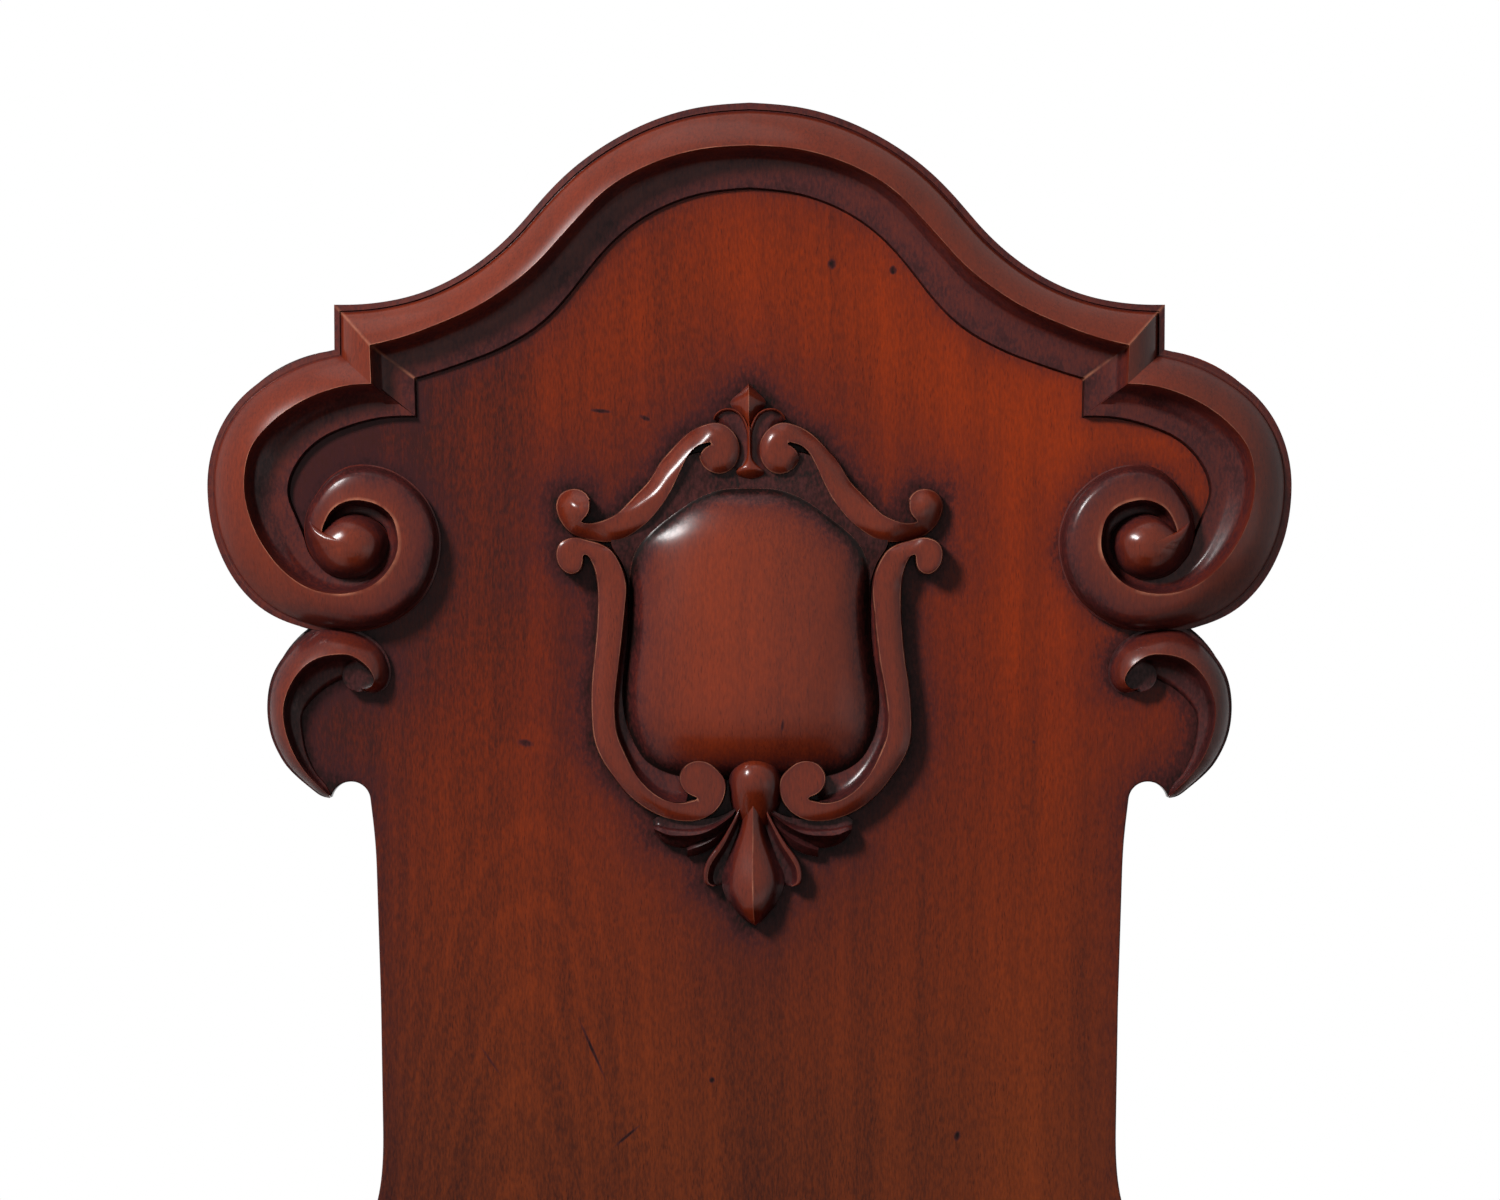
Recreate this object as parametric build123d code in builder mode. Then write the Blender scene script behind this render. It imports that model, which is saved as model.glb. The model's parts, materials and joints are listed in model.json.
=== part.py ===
from build123d import *
import math
import os

os.makedirs("parts", exist_ok=True)

# Overall sizes, in millimetres
seat_top_height = 445.0
overall_depth = 420.0
back_width = 432.4
back_rake = 6.0

# Seat board
seat_thickness = 22.0
seat_front_width = 440.0
seat_back_width = 372.0
seat_depth = 372.0
seat_bow = 22.0
seat_front_corner_radius = 16.0
seat_back_corner_radius = 6.0
seat_step_height = 6.0
seat_step_inset = 5.0
seat_top_round = 7.0
seat_low_round = 3.0

# Front legs
block_width = 44.0
block_height = 82.0
block_chamfer = 2.0
front_leg_overhang = 14.0

# Back legs
back_leg_width = 34.0
back_leg_depth = 34.0
back_leg_foot_depth = 29.0
back_leg_straight = 84.0
back_leg_overhang = 10.0
back_leg_chamfer = 2.0

# Seat rails and their tenons
rail_height = 62.0
rail_thickness = 20.0
back_rail_thickness = 26.0
rail_setback = 1.5
rail_low_round = 4.0
tenon_thickness = 9.0
tenon_shoulder = 9.0
front_tenon_length = 20.0
back_tenon_length = 14.0
joint_clearance = 0.15

# Corner blocks, glue blocks and screws
front_corner_arm = 74.0
back_corner_arm = 58.0
corner_block_height = 30.0
glue_block_side = 16.0
glue_block_length = 60.0
glue_block_chamfer = 5.0
screw_shank = 4.0
screw_head = 8.0
screw_head_depth = 3.0
corner_screw_length = 40.0
seat_screw_bite = 14.0
seat_screw_inset = 9.0
seat_screw_offset = 16.0

# Back board and its tenons
board_thickness = 22.0
board_behind_margin = 8.0
board_tenon_thickness = 10.0
board_tenon_width = 62.0
board_tenon_spacing = 150.0
board_tenon_reach = 32.0
peg_diameter = 7.0
peg_spacing = 30.0
peg_drop = 18.0

# Relief of the carving, measured out from the face of the board
fillet_height = 4.6
arris_height = 17.0
lip_height = 2.6
eye_height = 16.0
eye_wall = 9.0
leaf_scroll_height = 13.0
leaf_scroll_edge = 3.6
strap_wall = 8.5
strap_height = 12.5
ball_height = 13.5
shield_edge_height = 4.5
shield_crown_height = 16.5
bud_height = 10.0
petal_height = 7.5
bulb_height = 15.0
lobe_height = 12.0
side_lobe_height = 9.0
leaf_wall_height = 3.0

# Cutting bodies run past what they cut by this much
overrun = 5.0

# The back as the photograph shows it, in pixels: its axis, its foot and its width over the volutes
axis_px = 749.5
foot_px = 1290
back_width_px = 1081
mm_per_px = back_width / back_width_px

# Widths and radii of the carving, in pixels of the photograph
moulding_width_px = 84
moulding_arris_px = 41
fillet_width_px = 4
eye_radius_px = 35
outer_ball_radius_px = 16.5
low_ball_radius_px = 14
scroll_ball_radius_px = 21
disc_radius_px = 25.5
bulb_radius_px = 25
shield_gap_px = 1

# Heights and places that follow from the sizes above
seat_under_height = seat_top_height - seat_thickness
seat_front_y = -overall_depth / 2
seat_corner_y = seat_front_y + seat_bow
seat_back_y = seat_front_y + seat_depth
board_foot_y = seat_back_y - board_behind_margin - board_thickness
rake = math.radians(back_rake)
board_up = Vector(0, math.sin(rake), math.cos(rake))
board_out = Vector(0, -math.cos(rake), math.sin(rake))
board_foot = Vector(0, board_foot_y, seat_top_height)


def at(px):
    """A place of the photograph, in millimetres on the board's own plane."""
    return ((px[0] - axis_px) * mm_per_px, (foot_px - px[1]) * mm_per_px)


def on_board(px, out=0):
    """The same place in the room, at a distance out from the board's face."""
    across, up = at(px)
    return board_foot + Vector(across, 0, 0) + board_up * up + board_out * out


def board_plane(out=0):
    """The plane parallel to the board's face: X across, Y up the board, Z out of its face."""
    return Plane(origin=board_foot + board_out * out, x_dir=(1, 0, 0), z_dir=board_out)


def chord_plane(start, end):
    """A plane square to the board through two places on it: X from start to end, Y out of the face."""
    along = on_board(end) - on_board(start)
    return Plane(origin=on_board(start), x_dir=along, z_dir=along.cross(board_out))


def chord_length(start, end):
    return (on_board(end) - on_board(start)).length


def bowed(start, end, bulge_share):
    """An arc from start to end whose middle stands to the left of the chord by a share of the chord."""
    across, up = end[0] - start[0], end[1] - start[1]
    middle = ((start[0] + end[0]) / 2 - up * bulge_share, (start[1] + end[1]) / 2 + across * bulge_share)
    return ThreePointArc(start, middle, end)


def bowed_run(start, rows):
    """A chain of arcs and lines from start, one for each row of (x, y, bulge share)."""
    for x, y, bulge_share in rows:
        if bulge_share:
            bowed(start, (x, y), bulge_share)
        else:
            Line(start, (x, y))
        start = (x, y)


# Sections of the carving. A strip of the moulding is never higher than a share of its own width
round_bulge_share = 0.14
hollow_bulge_share = 0.2
steepest_share = 1.5


def moulding_section(outer, inner, arris_place, crown, edge):
    """A fillet at the outer edge, a round up to the sharp arris, and a hollow down to a low lip."""
    width = chord_length(outer, inner)
    crown = min(crown, width * steepest_share)
    edge, lip = min(edge, crown / 2), min(lip_height, crown / 2)
    arris = (arris_place, crown)
    fillet_end = (min(fillet_width_px * mm_per_px, arris_place / 4), edge)
    with BuildSketch(chord_plane(outer, inner)) as section:
        with BuildLine():
            Polyline((width, 0), (0, 0), (0, edge), fillet_end)
            bowed(fillet_end, arris, round_bulge_share)
            bowed(arris, (width, lip), -hollow_bulge_share)
            Line((width, lip), (width, 0))
        make_face()
    return section.sketch


def ridge_section(start, end, wall, crown):
    """A convex strip with upright side walls."""
    width = chord_length(start, end)
    with BuildSketch(chord_plane(start, end)) as section:
        with BuildLine():
            Polyline((0, wall), (0, 0), (width, 0), (width, wall))
            ThreePointArc((width, wall), (width / 2, crown), (0, wall))
        make_face()
    return section.sketch


def dome_section(centre, radius_px, wall, crown):
    """Half the section of a round boss that is turned about a line square to the board."""
    quarter = math.sqrt(1 / 2)
    radius = radius_px * mm_per_px
    with BuildSketch(chord_plane(centre, (centre[0] + radius_px, centre[1]))) as section:
        with BuildLine():
            Polyline((0, crown), (0, 0), (radius, 0), (radius, wall))
            ThreePointArc((radius, wall), (radius * quarter, wall + (crown - wall) * quarter), (0, crown))
        make_face()
    return section.sketch


def add_dome(centre, radius_px, wall, crown):
    revolve(dome_section(centre, radius_px, wall, crown), axis=Axis(on_board(centre), board_out))


def add_ridge(rows, wall, crown):
    """A strip lofted through rows of (one edge, other edge, share of the full height)."""
    loft([ridge_section(start, end, wall * share, crown * share) for start, end, share in rows], ruled=True)


def add_moulding(rows, crown, edge):
    """A moulding lofted through rows of (outer edge, arris, inner edge)."""
    loft([moulding_section(outer, inner, chord_length(outer, arris), crown, edge)
          for outer, arris, inner in rows], ruled=True)


# Outline of the left half of the back, in pixels of the photograph
crown_px = (axis_px, 103)
crown_radius_px = 263
crest_end_px = (334, 305)
break_foot_px = (334, 350)
volute_upper_px = (249, 391)
volute_widest_px = (209, 488)
volute_low_px = (307, 629)
leaf_widest_px = (269, 707)
leaf_tip_px = (331, 798)
notch_left_px = (339, 786)
notch_top_px = (352, 782)
notch_right_px = (364, 787)
waist_top_px = (370, 799)
waist_bend_px = (375, 845)
waist_middle_px = (377, 890)
waist_side_px = (381, 1030)
waist_low_px = (382, 1165)
foot_side_px = (332, 1272)

# The crest is a round crown that runs into two hollow haunches, each level at its outer end
crown_centre_px = (axis_px, crown_px[1] + crown_radius_px)
haunch_run_px = crown_centre_px[0] - crest_end_px[0]
haunch_rise_px = crown_centre_px[1] - crest_end_px[1]
haunch_radius_px = (haunch_run_px**2 + haunch_rise_px**2 - crown_radius_px**2) / (
    2 * (crown_radius_px - haunch_rise_px)
)
haunch_centre_px = (crest_end_px[0], crest_end_px[1] - haunch_radius_px)
crest_turn = math.atan2(haunch_run_px, crown_centre_px[1] - haunch_centre_px[1])


def crown_point_px(turn):
    return (axis_px - crown_radius_px * math.sin(turn), crown_centre_px[1] - crown_radius_px * math.cos(turn))


def haunch_point_px(turn):
    return (
        haunch_centre_px[0] + haunch_radius_px * math.sin(turn),
        haunch_centre_px[1] + haunch_radius_px * math.cos(turn),
    )


def crest_run():
    """The two tangent arcs of the left half of the crest, on the board's own plane."""
    ThreePointArc(at(crown_px), at(crown_point_px(crest_turn / 2)), at(crown_point_px(crest_turn)))
    ThreePointArc(at(crown_point_px(crest_turn)), at(haunch_point_px(crest_turn / 2)), at(crest_end_px))


# Pegs that hold the back's tenons in the back rail
board_tenon_length = seat_thickness + board_tenon_reach
back_rail_back_y = seat_back_y - back_leg_overhang
peg_height = seat_under_height - peg_drop
peg_places = [(side * board_tenon_spacing / 2 + step * peg_spacing / 2, peg_height)
              for side in (-1, 1) for step in (-1, 1)]

with BuildPart() as back_pegs:
    with BuildSketch(Plane(origin=(0, back_rail_back_y, 0), x_dir=(1, 0, 0), z_dir=(0, -1, 0))):
        with Locations(*peg_places):
            Circle(peg_diameter / 2)
    extrude(amount=back_rail_thickness)


def cut_board_tenons(clearance=0):
    """The back's two tenons: added to the back, or cut as mortises with a clearance all round."""
    length = board_tenon_length + overrun
    with BuildSketch(board_plane(-board_thickness / 2)) as faces:
        with Locations(*[(side * board_tenon_spacing / 2, overrun - length / 2) for side in (-1, 1)]):
            Rectangle(board_tenon_width + clearance * 2, length + clearance * 2)
    extrude(faces.sketch, amount=board_tenon_thickness / 2 + clearance, both=True,
            mode=Mode.SUBTRACT if clearance else Mode.ADD)


# Back board, with two tenons that pass through the seat into the back rail
with BuildPart() as back_board:
    with BuildSketch(board_plane()):
        with BuildLine():
            crest_run()
            Line(at(crest_end_px), at(break_foot_px))
            ThreePointArc(at(break_foot_px), at(volute_upper_px), at(volute_widest_px))
            TangentArc(at(volute_widest_px), at(volute_low_px), tangent=(0, -1))
            ThreePointArc(at(volute_low_px), at(leaf_widest_px), at(leaf_tip_px))
            ThreePointArc(at(leaf_tip_px), at(notch_left_px), at(notch_top_px))
            ThreePointArc(at(notch_top_px), at(notch_right_px), at(waist_top_px))
            ThreePointArc(at(waist_top_px), at(waist_bend_px), at(waist_middle_px))
            ThreePointArc(at(waist_middle_px), at(waist_side_px), at(waist_low_px))
            TangentArc(at(waist_low_px), at(foot_side_px), tangent=(0, -1))
            Polyline(at(foot_side_px), (at(foot_side_px)[0], -overrun), (0, -overrun), at(crown_px))
        make_face()
        mirror(about=Plane.YZ)
    extrude(amount=-board_thickness)
    split(bisect_by=Plane.XY.offset(seat_top_height), keep=Keep.TOP)
    cut_board_tenons()
    add(back_pegs.part, mode=Mode.SUBTRACT)
back_board.part.label = "back_board"
export_step(back_board.part, "parts/back_board.step")

# Crest moulding: one section run along the crest, then mitred down at each end to meet the volute
mitre_inner_px = (418, 418)
crest_inner_px = (axis_px, crown_px[1] + moulding_width_px)

with BuildPart() as crest_moulding:
    with BuildLine(board_plane()) as crest_path:
        crest_run()
        Line(at(crest_end_px), at((crest_end_px[0], mitre_inner_px[1] + moulding_width_px)))
    crest_section = moulding_section(crown_px, crest_inner_px, moulding_arris_px * mm_per_px,
                                     arris_height, fillet_height)
    sweep(crest_section, path=crest_path.wires()[0], transition=Transition.RIGHT)
    split(bisect_by=chord_plane(break_foot_px, mitre_inner_px), keep=Keep.BOTTOM)
    mirror(about=Plane.YZ)
crest_moulding.part.label = "crest_moulding"
export_step(crest_moulding.part, "parts/crest_moulding.step")


# Volutes: the moulding goes on round each haunch and rolls up to a round eye.
# Rows of (outer edge, arris, inner edge)
volute_turn_px = [
    ((334, 350), (373, 385), (418, 418)),
    ((292, 364), (330, 391), (370, 422)),
    ((249, 391), (285, 413), (328, 436)),
    ((221, 430), (257, 441), (303, 459)),
    ((208, 488), (246, 482), (290, 492)),
    ((216, 541), (253, 522), (297, 516)),
    ((238, 582), (267, 548), (306, 536)),
    ((276, 615), (291, 577), (325, 555)),
    ((312, 629), (317, 590), (338, 566)),
    ((344, 632), (341, 594), (348, 570)),
    ((375, 629), (363, 590), (358, 569)),
    ((402, 617), (380, 579), (366, 566)),
    ((423, 598), (391, 566), (374, 558)),
    ((437, 570), (398, 552), (378, 550)),
]
volute_roll_px = [
    ((437, 570), (398, 552), (378, 550)),
    ((441, 545), (399, 540), (380, 542)),
    ((436, 518), (396, 524), (377, 534)),
    ((421, 492), (387, 511), (371, 527)),
    ((398, 473), (375, 503), (364, 522)),
    ((371, 465), (362, 501), (357, 521)),
    ((344, 468), (347, 502), (350, 522)),
    ((325, 482), (334, 510), (343, 526)),
    ((312, 500), (326, 521), (338, 533)),
    ((306, 519), (322, 533), (337, 540)),
]
volute_eye_px = (355, 544)

with BuildPart() as left_volute:
    add_moulding(volute_turn_px, arris_height, fillet_height)
    add_moulding(volute_roll_px, arris_height, fillet_height)
    add_dome(volute_eye_px, eye_radius_px, eye_wall, eye_height)

# Leaf scrolls: a smaller scroll below each volute that tapers to a point at its foot
leaf_scroll_px = [
    ((325, 797), (329, 795), (331, 792)),
    ((300, 779), (308, 773), (319, 776)),
    ((281, 756), (294, 750), (308, 756)),
    ((270, 729), (286, 728), (303, 730)),
    ((268, 703), (285, 705), (304, 714)),
    ((273, 677), (292, 684), (310, 702)),
    ((288, 654), (306, 667), (323, 692)),
    ((312, 637), (324, 656), (338, 681)),
    ((340, 635), (342, 654), (346, 674)),
    ((364, 640), (358, 658), (354, 671)),
    ((384, 654), (369, 667), (360, 674)),
    ((391, 673), (375, 678), (362, 680)),
    ((385, 689), (372, 686), (363, 683)),
    ((370, 693), (366, 689), (362, 685)),
]

with BuildPart() as left_leaf_scroll:
    add_moulding(leaf_scroll_px, leaf_scroll_height, leaf_scroll_edge)

# Strapwork round the shield. Rows of (one edge, other edge, share of the full height)
upper_scroll_px = [
    ((577, 521), (572, 531), 0.85),
    ((600, 521), (598, 541), 0.95),
    ((618, 514), (626, 540), 1.0),
    ((638, 494), (650, 525), 1.0),
    ((655, 472), (672, 496), 0.97),
    ((664, 456), (686, 468), 0.94),
    ((678, 440), (697, 451), 0.9),
    ((698, 427), (707, 444), 0.86),
    ((717, 424), (714, 444), 0.84),
    ((732, 434), (716, 450), 0.82),
    ((738, 453), (720, 453), 0.8),
    ((732, 468), (716, 458), 0.78),
    ((719, 474), (712, 460), 0.76),
]
lower_scroll_px = [
    ((577, 539), (572, 552), 0.85),
    ((598, 543), (588, 560), 0.95),
    ((614, 556), (597, 577), 1.0),
    ((624, 585), (598, 600), 1.0),
    ((624, 625), (596, 632), 1.0),
    ((618, 668), (592, 665), 1.0),
    ((615, 705), (591, 705), 1.0),
    ((619, 740), (594, 748), 0.98),
    ((633, 770), (607, 776), 0.95),
    ((652, 790), (640, 808), 0.92),
    ((676, 800), (672, 819), 0.88),
    ((691, 796), (697, 818), 0.84),
    ((699, 789), (716, 801), 0.8),
    ((700, 781), (720, 780), 0.78),
]
outer_ball_px = (573, 508)
low_ball_px = (572, 560)
scroll_ball_px = (716, 455)
scroll_disc_px = (697, 781)

with BuildPart() as left_upper_scroll:
    add_ridge(upper_scroll_px, strap_wall, strap_height)
    add_dome(outer_ball_px, outer_ball_radius_px, strap_wall, ball_height)
    add_dome(scroll_ball_px, scroll_ball_radius_px, strap_wall, ball_height)

with BuildPart() as left_lower_scroll:
    add_ridge(lower_scroll_px, strap_wall, strap_height)
    add_dome(low_ball_px, low_ball_radius_px, strap_wall, ball_height)
    add_dome(scroll_disc_px, disc_radius_px, strap_wall, ball_height)

# Bud at the head of the shield: a pointed bud between two petals, on a stem with a spread foot
bud_px = [((735, 478), (764, 478), 0.8), ((743, 462), (756, 462), 0.85), ((745, 440), (754, 440), 0.9),
          ((744, 422), (755, 422), 1.0), ((737, 404), (762, 404), 1.0), ((746, 387), (753, 387), 0.6)]
petal_px = [((747, 436), (751, 422), 0.7), ((734, 424), (741, 411), 0.9), ((721, 423), (731, 408), 1.0),
            ((713, 421), (718, 411), 0.6)]

with BuildPart() as bud:
    add_ridge(petal_px, leaf_wall_height, petal_height)
    mirror(about=Plane.YZ)
    add_ridge(bud_px, leaf_wall_height, bud_height)

# Leaf drop at the foot of the shield: a round bulb, a middle lobe and two leaves on each side
bulb_px = (axis_px, 778)
lobe_px = [((739, 788), (760, 788), 0.9), ((738, 830), (764, 830), 0.9), ((728, 856), (773, 856), 1.0),
           ((722, 876), (779, 876), 1.0), ((727, 900), (774, 900), 0.85), ((740, 914), (761, 914), 0.6),
           ((748, 924), (753, 924), 0.35)]
inner_leaf_px = [((740, 800), (748, 812), 0.8), ((724, 824), (742, 833), 0.9), ((709, 850), (731, 858), 1.0),
                 ((704, 868), (725, 878), 0.9), ((708, 884), (719, 891), 0.5)]
outer_leaf_px = [((741, 808), (733, 830), 0.7), ((722, 826), (716, 846), 0.9), ((700, 828), (696, 853), 1.0),
                 ((678, 827), (680, 848), 0.85), ((663, 826), (665, 841), 0.5)]

with BuildPart() as leaf_drop:
    add_ridge(outer_leaf_px, leaf_wall_height, side_lobe_height)
    add_ridge(inner_leaf_px, leaf_wall_height, side_lobe_height)
    mirror(about=Plane.YZ)
    add_ridge(lobe_px, leaf_wall_height, lobe_height)
    add_dome(bulb_px, bulb_radius_px, leaf_wall_height, bulb_height)

# Shield: a pillow whose outline keeps just inside the strapwork, hollowed round the discs and the bulb
shield_top_px = (axis_px, 482)
shield_arcs_px = [
    ((722, 481), (697, 476)),
    ((676, 518), (632, 550)),
    ((631, 600), (626, 655)),
    ((626, 722), (656, 764)),
    ((704, 778), (axis_px, 774)),
]
shield_centre_px = (axis_px, 622)
shield_layers = 5
shield_cap_share = 0.12


def shield_section(shrink, out):
    """The shield's outline drawn in towards its middle, at a height above the board."""
    def drawn_in(px):
        return at([middle + (place - middle) * shrink for place, middle in zip(px, shield_centre_px)])
    with BuildSketch(board_plane(out)) as section:
        with BuildLine():
            start = shield_top_px
            for middle, end in shield_arcs_px:
                ThreePointArc(drawn_in(start), drawn_in(middle), drawn_in(end))
                start = end
            Line(drawn_in(start), drawn_in(shield_top_px))
        make_face()
        mirror(about=Plane.YZ)
    return section.sketch


def shield_layer(step):
    """A layer of the pillow: its outline follows the cosine and its height the sine of one angle."""
    turn = math.acos(shield_cap_share) * step / shield_layers
    rise = shield_crown_height - shield_edge_height
    return shield_section(math.cos(turn), shield_edge_height + rise * math.sin(turn))


with BuildPart() as shield:
    loft([shield_section(1, 0)] + [shield_layer(step) for step in range(shield_layers + 1)], ruled=True)
    with BuildSketch(board_plane()):
        with Locations(at(scroll_disc_px)):
            Circle((disc_radius_px + shield_gap_px) * mm_per_px)
        mirror(about=Plane.YZ)
        with Locations(at(bulb_px)):
            Circle((bulb_radius_px + shield_gap_px) * mm_per_px)
    extrude(amount=shield_crown_height, mode=Mode.SUBTRACT)

carved_left = {
    "volute": left_volute,
    "leaf_scroll": left_leaf_scroll,
    "upper_scroll": left_upper_scroll,
    "lower_scroll": left_lower_scroll,
}
for name, left in carved_left.items():
    with BuildPart() as right:
        mirror(left.part, about=Plane.YZ)
    left.part.label = "left_" + name
    right.part.label = "right_" + name
    export_step(left.part, f"parts/left_{name}.step")
    export_step(right.part, f"parts/right_{name}.step")

bud.part.label = "bud"
export_step(bud.part, "parts/bud.step")
leaf_drop.part.label = "leaf_drop"
export_step(leaf_drop.part, "parts/leaf_drop.step")
shield.part.label = "shield"
export_step(shield.part, "parts/shield.step")

# Places of the legs and the rails, for the right half of the frame
front_leg_x = seat_front_width / 2 - front_leg_overhang - block_width / 2
front_leg_y = seat_corner_y + front_leg_overhang + block_width / 2
back_leg_x = seat_back_width / 2 - back_leg_overhang - back_leg_width / 2
back_leg_y = back_rail_back_y - back_leg_depth / 2
rail_middle = seat_under_height - rail_height / 2
front_rail_y = front_leg_y - block_width / 2 + rail_setback + rail_thickness / 2
back_rail_y = back_rail_back_y - back_rail_thickness / 2
side_front_x = front_leg_x + block_width / 2 - rail_setback - rail_thickness / 2
side_back_x = back_leg_x + back_leg_width / 2 - rail_setback - rail_thickness / 2
front_shoulder_x = front_leg_x - block_width / 2
back_shoulder_x = back_leg_x - back_leg_width / 2
front_ends = (Vector(-front_shoulder_x, front_rail_y), Vector(front_shoulder_x, front_rail_y))
back_ends = (Vector(-back_shoulder_x, back_rail_y), Vector(back_shoulder_x, back_rail_y))
side_ends = (Vector(side_front_x, front_leg_y + block_width / 2),
             Vector(side_back_x, back_leg_y - back_leg_depth / 2))
front_tenons = (front_tenon_length, front_tenon_length)
back_tenons = (back_tenon_length, back_tenon_length)
side_tenons = (front_tenon_length, back_tenon_length)
across = Vector(1, 0)
backwards = Vector(0, 1)


def rail_plane(ends):
    """A plane along a rail: X along it, Y up, Z outwards, its origin half way up the rail at one end."""
    along = (ends[1] - ends[0]).normalized()
    return Plane(origin=(ends[0].X, ends[0].Y, rail_middle), x_dir=along, z_dir=along.cross(Vector(0, 0, 1)))


def cut_tenons(ends, tenons, clearance=0):
    """Both tenons of a rail as one bar that runs past its ends: added to a rail, or cut as mortises."""
    length = (ends[1] - ends[0]).length
    with BuildSketch(rail_plane(ends)) as face:
        with Locations(((length + tenons[1] - tenons[0]) / 2, 0)):
            Rectangle(length + tenons[0] + tenons[1] + clearance * 2,
                      rail_height - tenon_shoulder * 2 + clearance * 2)
    extrude(face.sketch, amount=tenon_thickness / 2 + clearance, both=True,
            mode=Mode.SUBTRACT if clearance else Mode.ADD)


def add_screw(place, length, mode=Mode.ADD):
    """A countersunk, pointed screw driven along a plane's normal, its head flush with the plane."""
    side = place.x_dir.cross(place.z_dir)
    with BuildSketch(Plane(origin=place.origin, x_dir=place.x_dir, z_dir=side)) as section:
        with BuildLine():
            Polyline((0, 0), (screw_head / 2, 0), (screw_shank / 2, screw_head_depth),
                     (screw_shank / 2, length - screw_shank), (0, length), (0, 0))
        make_face()
    revolve(section.sketch, axis=Axis(place.origin, place.z_dir), mode=mode)


def corner_outline(rail_face_y, arm, towards):
    """A corner block from above: where two rails' inner faces would meet, and the ends of its two arms."""
    along = (side_ends[1] - side_ends[0]).normalized()
    inner = side_ends[0] - along.cross(Vector(0, 0, 1)) * (rail_thickness / 2)
    corner = inner + along * ((rail_face_y - inner.Y) / along.Y)
    return corner, corner - across * arm, corner + along * (towards * arm)


def corner_screw_place(outline):
    """The plane on a corner block's long face, facing the leg."""
    corner, start, end = outline
    middle = (start + end) / 2
    square = Vector(0, 0, 1).cross(end - start).normalized()
    inward = square if square.dot(corner - middle) > 0 else -square
    height = seat_under_height - corner_block_height / 2
    return Plane(origin=Vector(middle.X, middle.Y, height), x_dir=(0, 0, 1), z_dir=inward)


def seat_screw_place(outline):
    """The plane under a corner block, beside the screw that holds the block to the leg."""
    side = (outline[2] - outline[1]).normalized() * seat_screw_offset
    spot = corner_screw_place(outline)
    spot = spot.origin + side + spot.z_dir * seat_screw_inset
    return Plane(origin=(spot.X, spot.Y, seat_under_height - corner_block_height), z_dir=(0, 0, 1))


corner_outlines = {
    "front": corner_outline(front_rail_y + rail_thickness / 2, front_corner_arm, 1),
    "back": corner_outline(back_rail_y - back_rail_thickness / 2, back_corner_arm, -1),
}

with BuildPart() as corner_screws:
    for outline in corner_outlines.values():
        add_screw(corner_screw_place(outline), corner_screw_length)
    mirror(about=Plane.YZ)
corner_screws.part.label = "corner_screws"
export_step(corner_screws.part, "parts/corner_screws.step")

with BuildPart() as seat_screws:
    for outline in corner_outlines.values():
        add_screw(seat_screw_place(outline), corner_block_height + seat_screw_bite)
    mirror(about=Plane.YZ)
seat_screws.part.label = "seat_screws"
export_step(seat_screws.part, "parts/seat_screws.step")

back_pegs.part.label = "back_pegs"
export_step(back_pegs.part, "parts/back_pegs.step")

# Front legs: a square block above a turned leg. Rows of (radius share, height share, bulge share)
# from the floor, as shares of half the block's width and of the height below the block
leg_turning_share = [
    (0.54, 0.0, 0), (0.62, 0.035, -0.25), (0.5, 0.062, -0.25), (0.5, 0.07, 0), (0.64, 0.078, -0.3),
    (0.64, 0.094, -0.3), (0.48, 0.102, 0.1), (0.5, 0.13, 0), (0.8, 0.7, -0.02), (0.84, 0.76, -0.12),
    (0.6, 0.81, -0.1), (0.6, 0.818, 0), (0.76, 0.824, 0), (0.76, 0.842, -0.35), (0.6, 0.848, 0),
    (0.56, 0.885, 0.16), (0.74, 0.912, 0.16), (0.74, 0.918, 0), (0.82, 0.926, 0), (0.82, 0.958, -0.4),
    (0.74, 0.966, 0), (0.74, 0.98, 0), (0.88, 1.0, 0.2),
]
turned_height = seat_under_height - block_height
turning = [(radius_share * block_width / 2, height_share * turned_height, bulge_share)
           for radius_share, height_share, bulge_share in leg_turning_share]

with BuildPart() as right_front_leg:
    with BuildSketch(Plane.XY.offset(seat_under_height)):
        with Locations((front_leg_x, front_leg_y)):
            Rectangle(block_width, block_width)
    extrude(amount=-block_height)
    chamfer(right_front_leg.edges().filter_by(Axis.Z), block_chamfer)
    chamfer(right_front_leg.faces().sort_by(Axis.Z)[0].edges(), block_chamfer)
    with BuildSketch(Plane(origin=(front_leg_x, front_leg_y, 0), x_dir=(1, 0, 0), z_dir=(0, -1, 0))):
        with BuildLine():
            bowed_run(turning[0][:2], turning[1:])
            Polyline(turning[-1][:2], (0, turned_height), (0, 0), turning[0][:2])
        make_face()
    revolve(axis=Axis((front_leg_x, front_leg_y, 0), (0, 0, 1)))
    cut_tenons(front_ends, front_tenons, joint_clearance)
    cut_tenons(side_ends, side_tenons, joint_clearance)
    add(corner_screws.part, mode=Mode.SUBTRACT)

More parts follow.
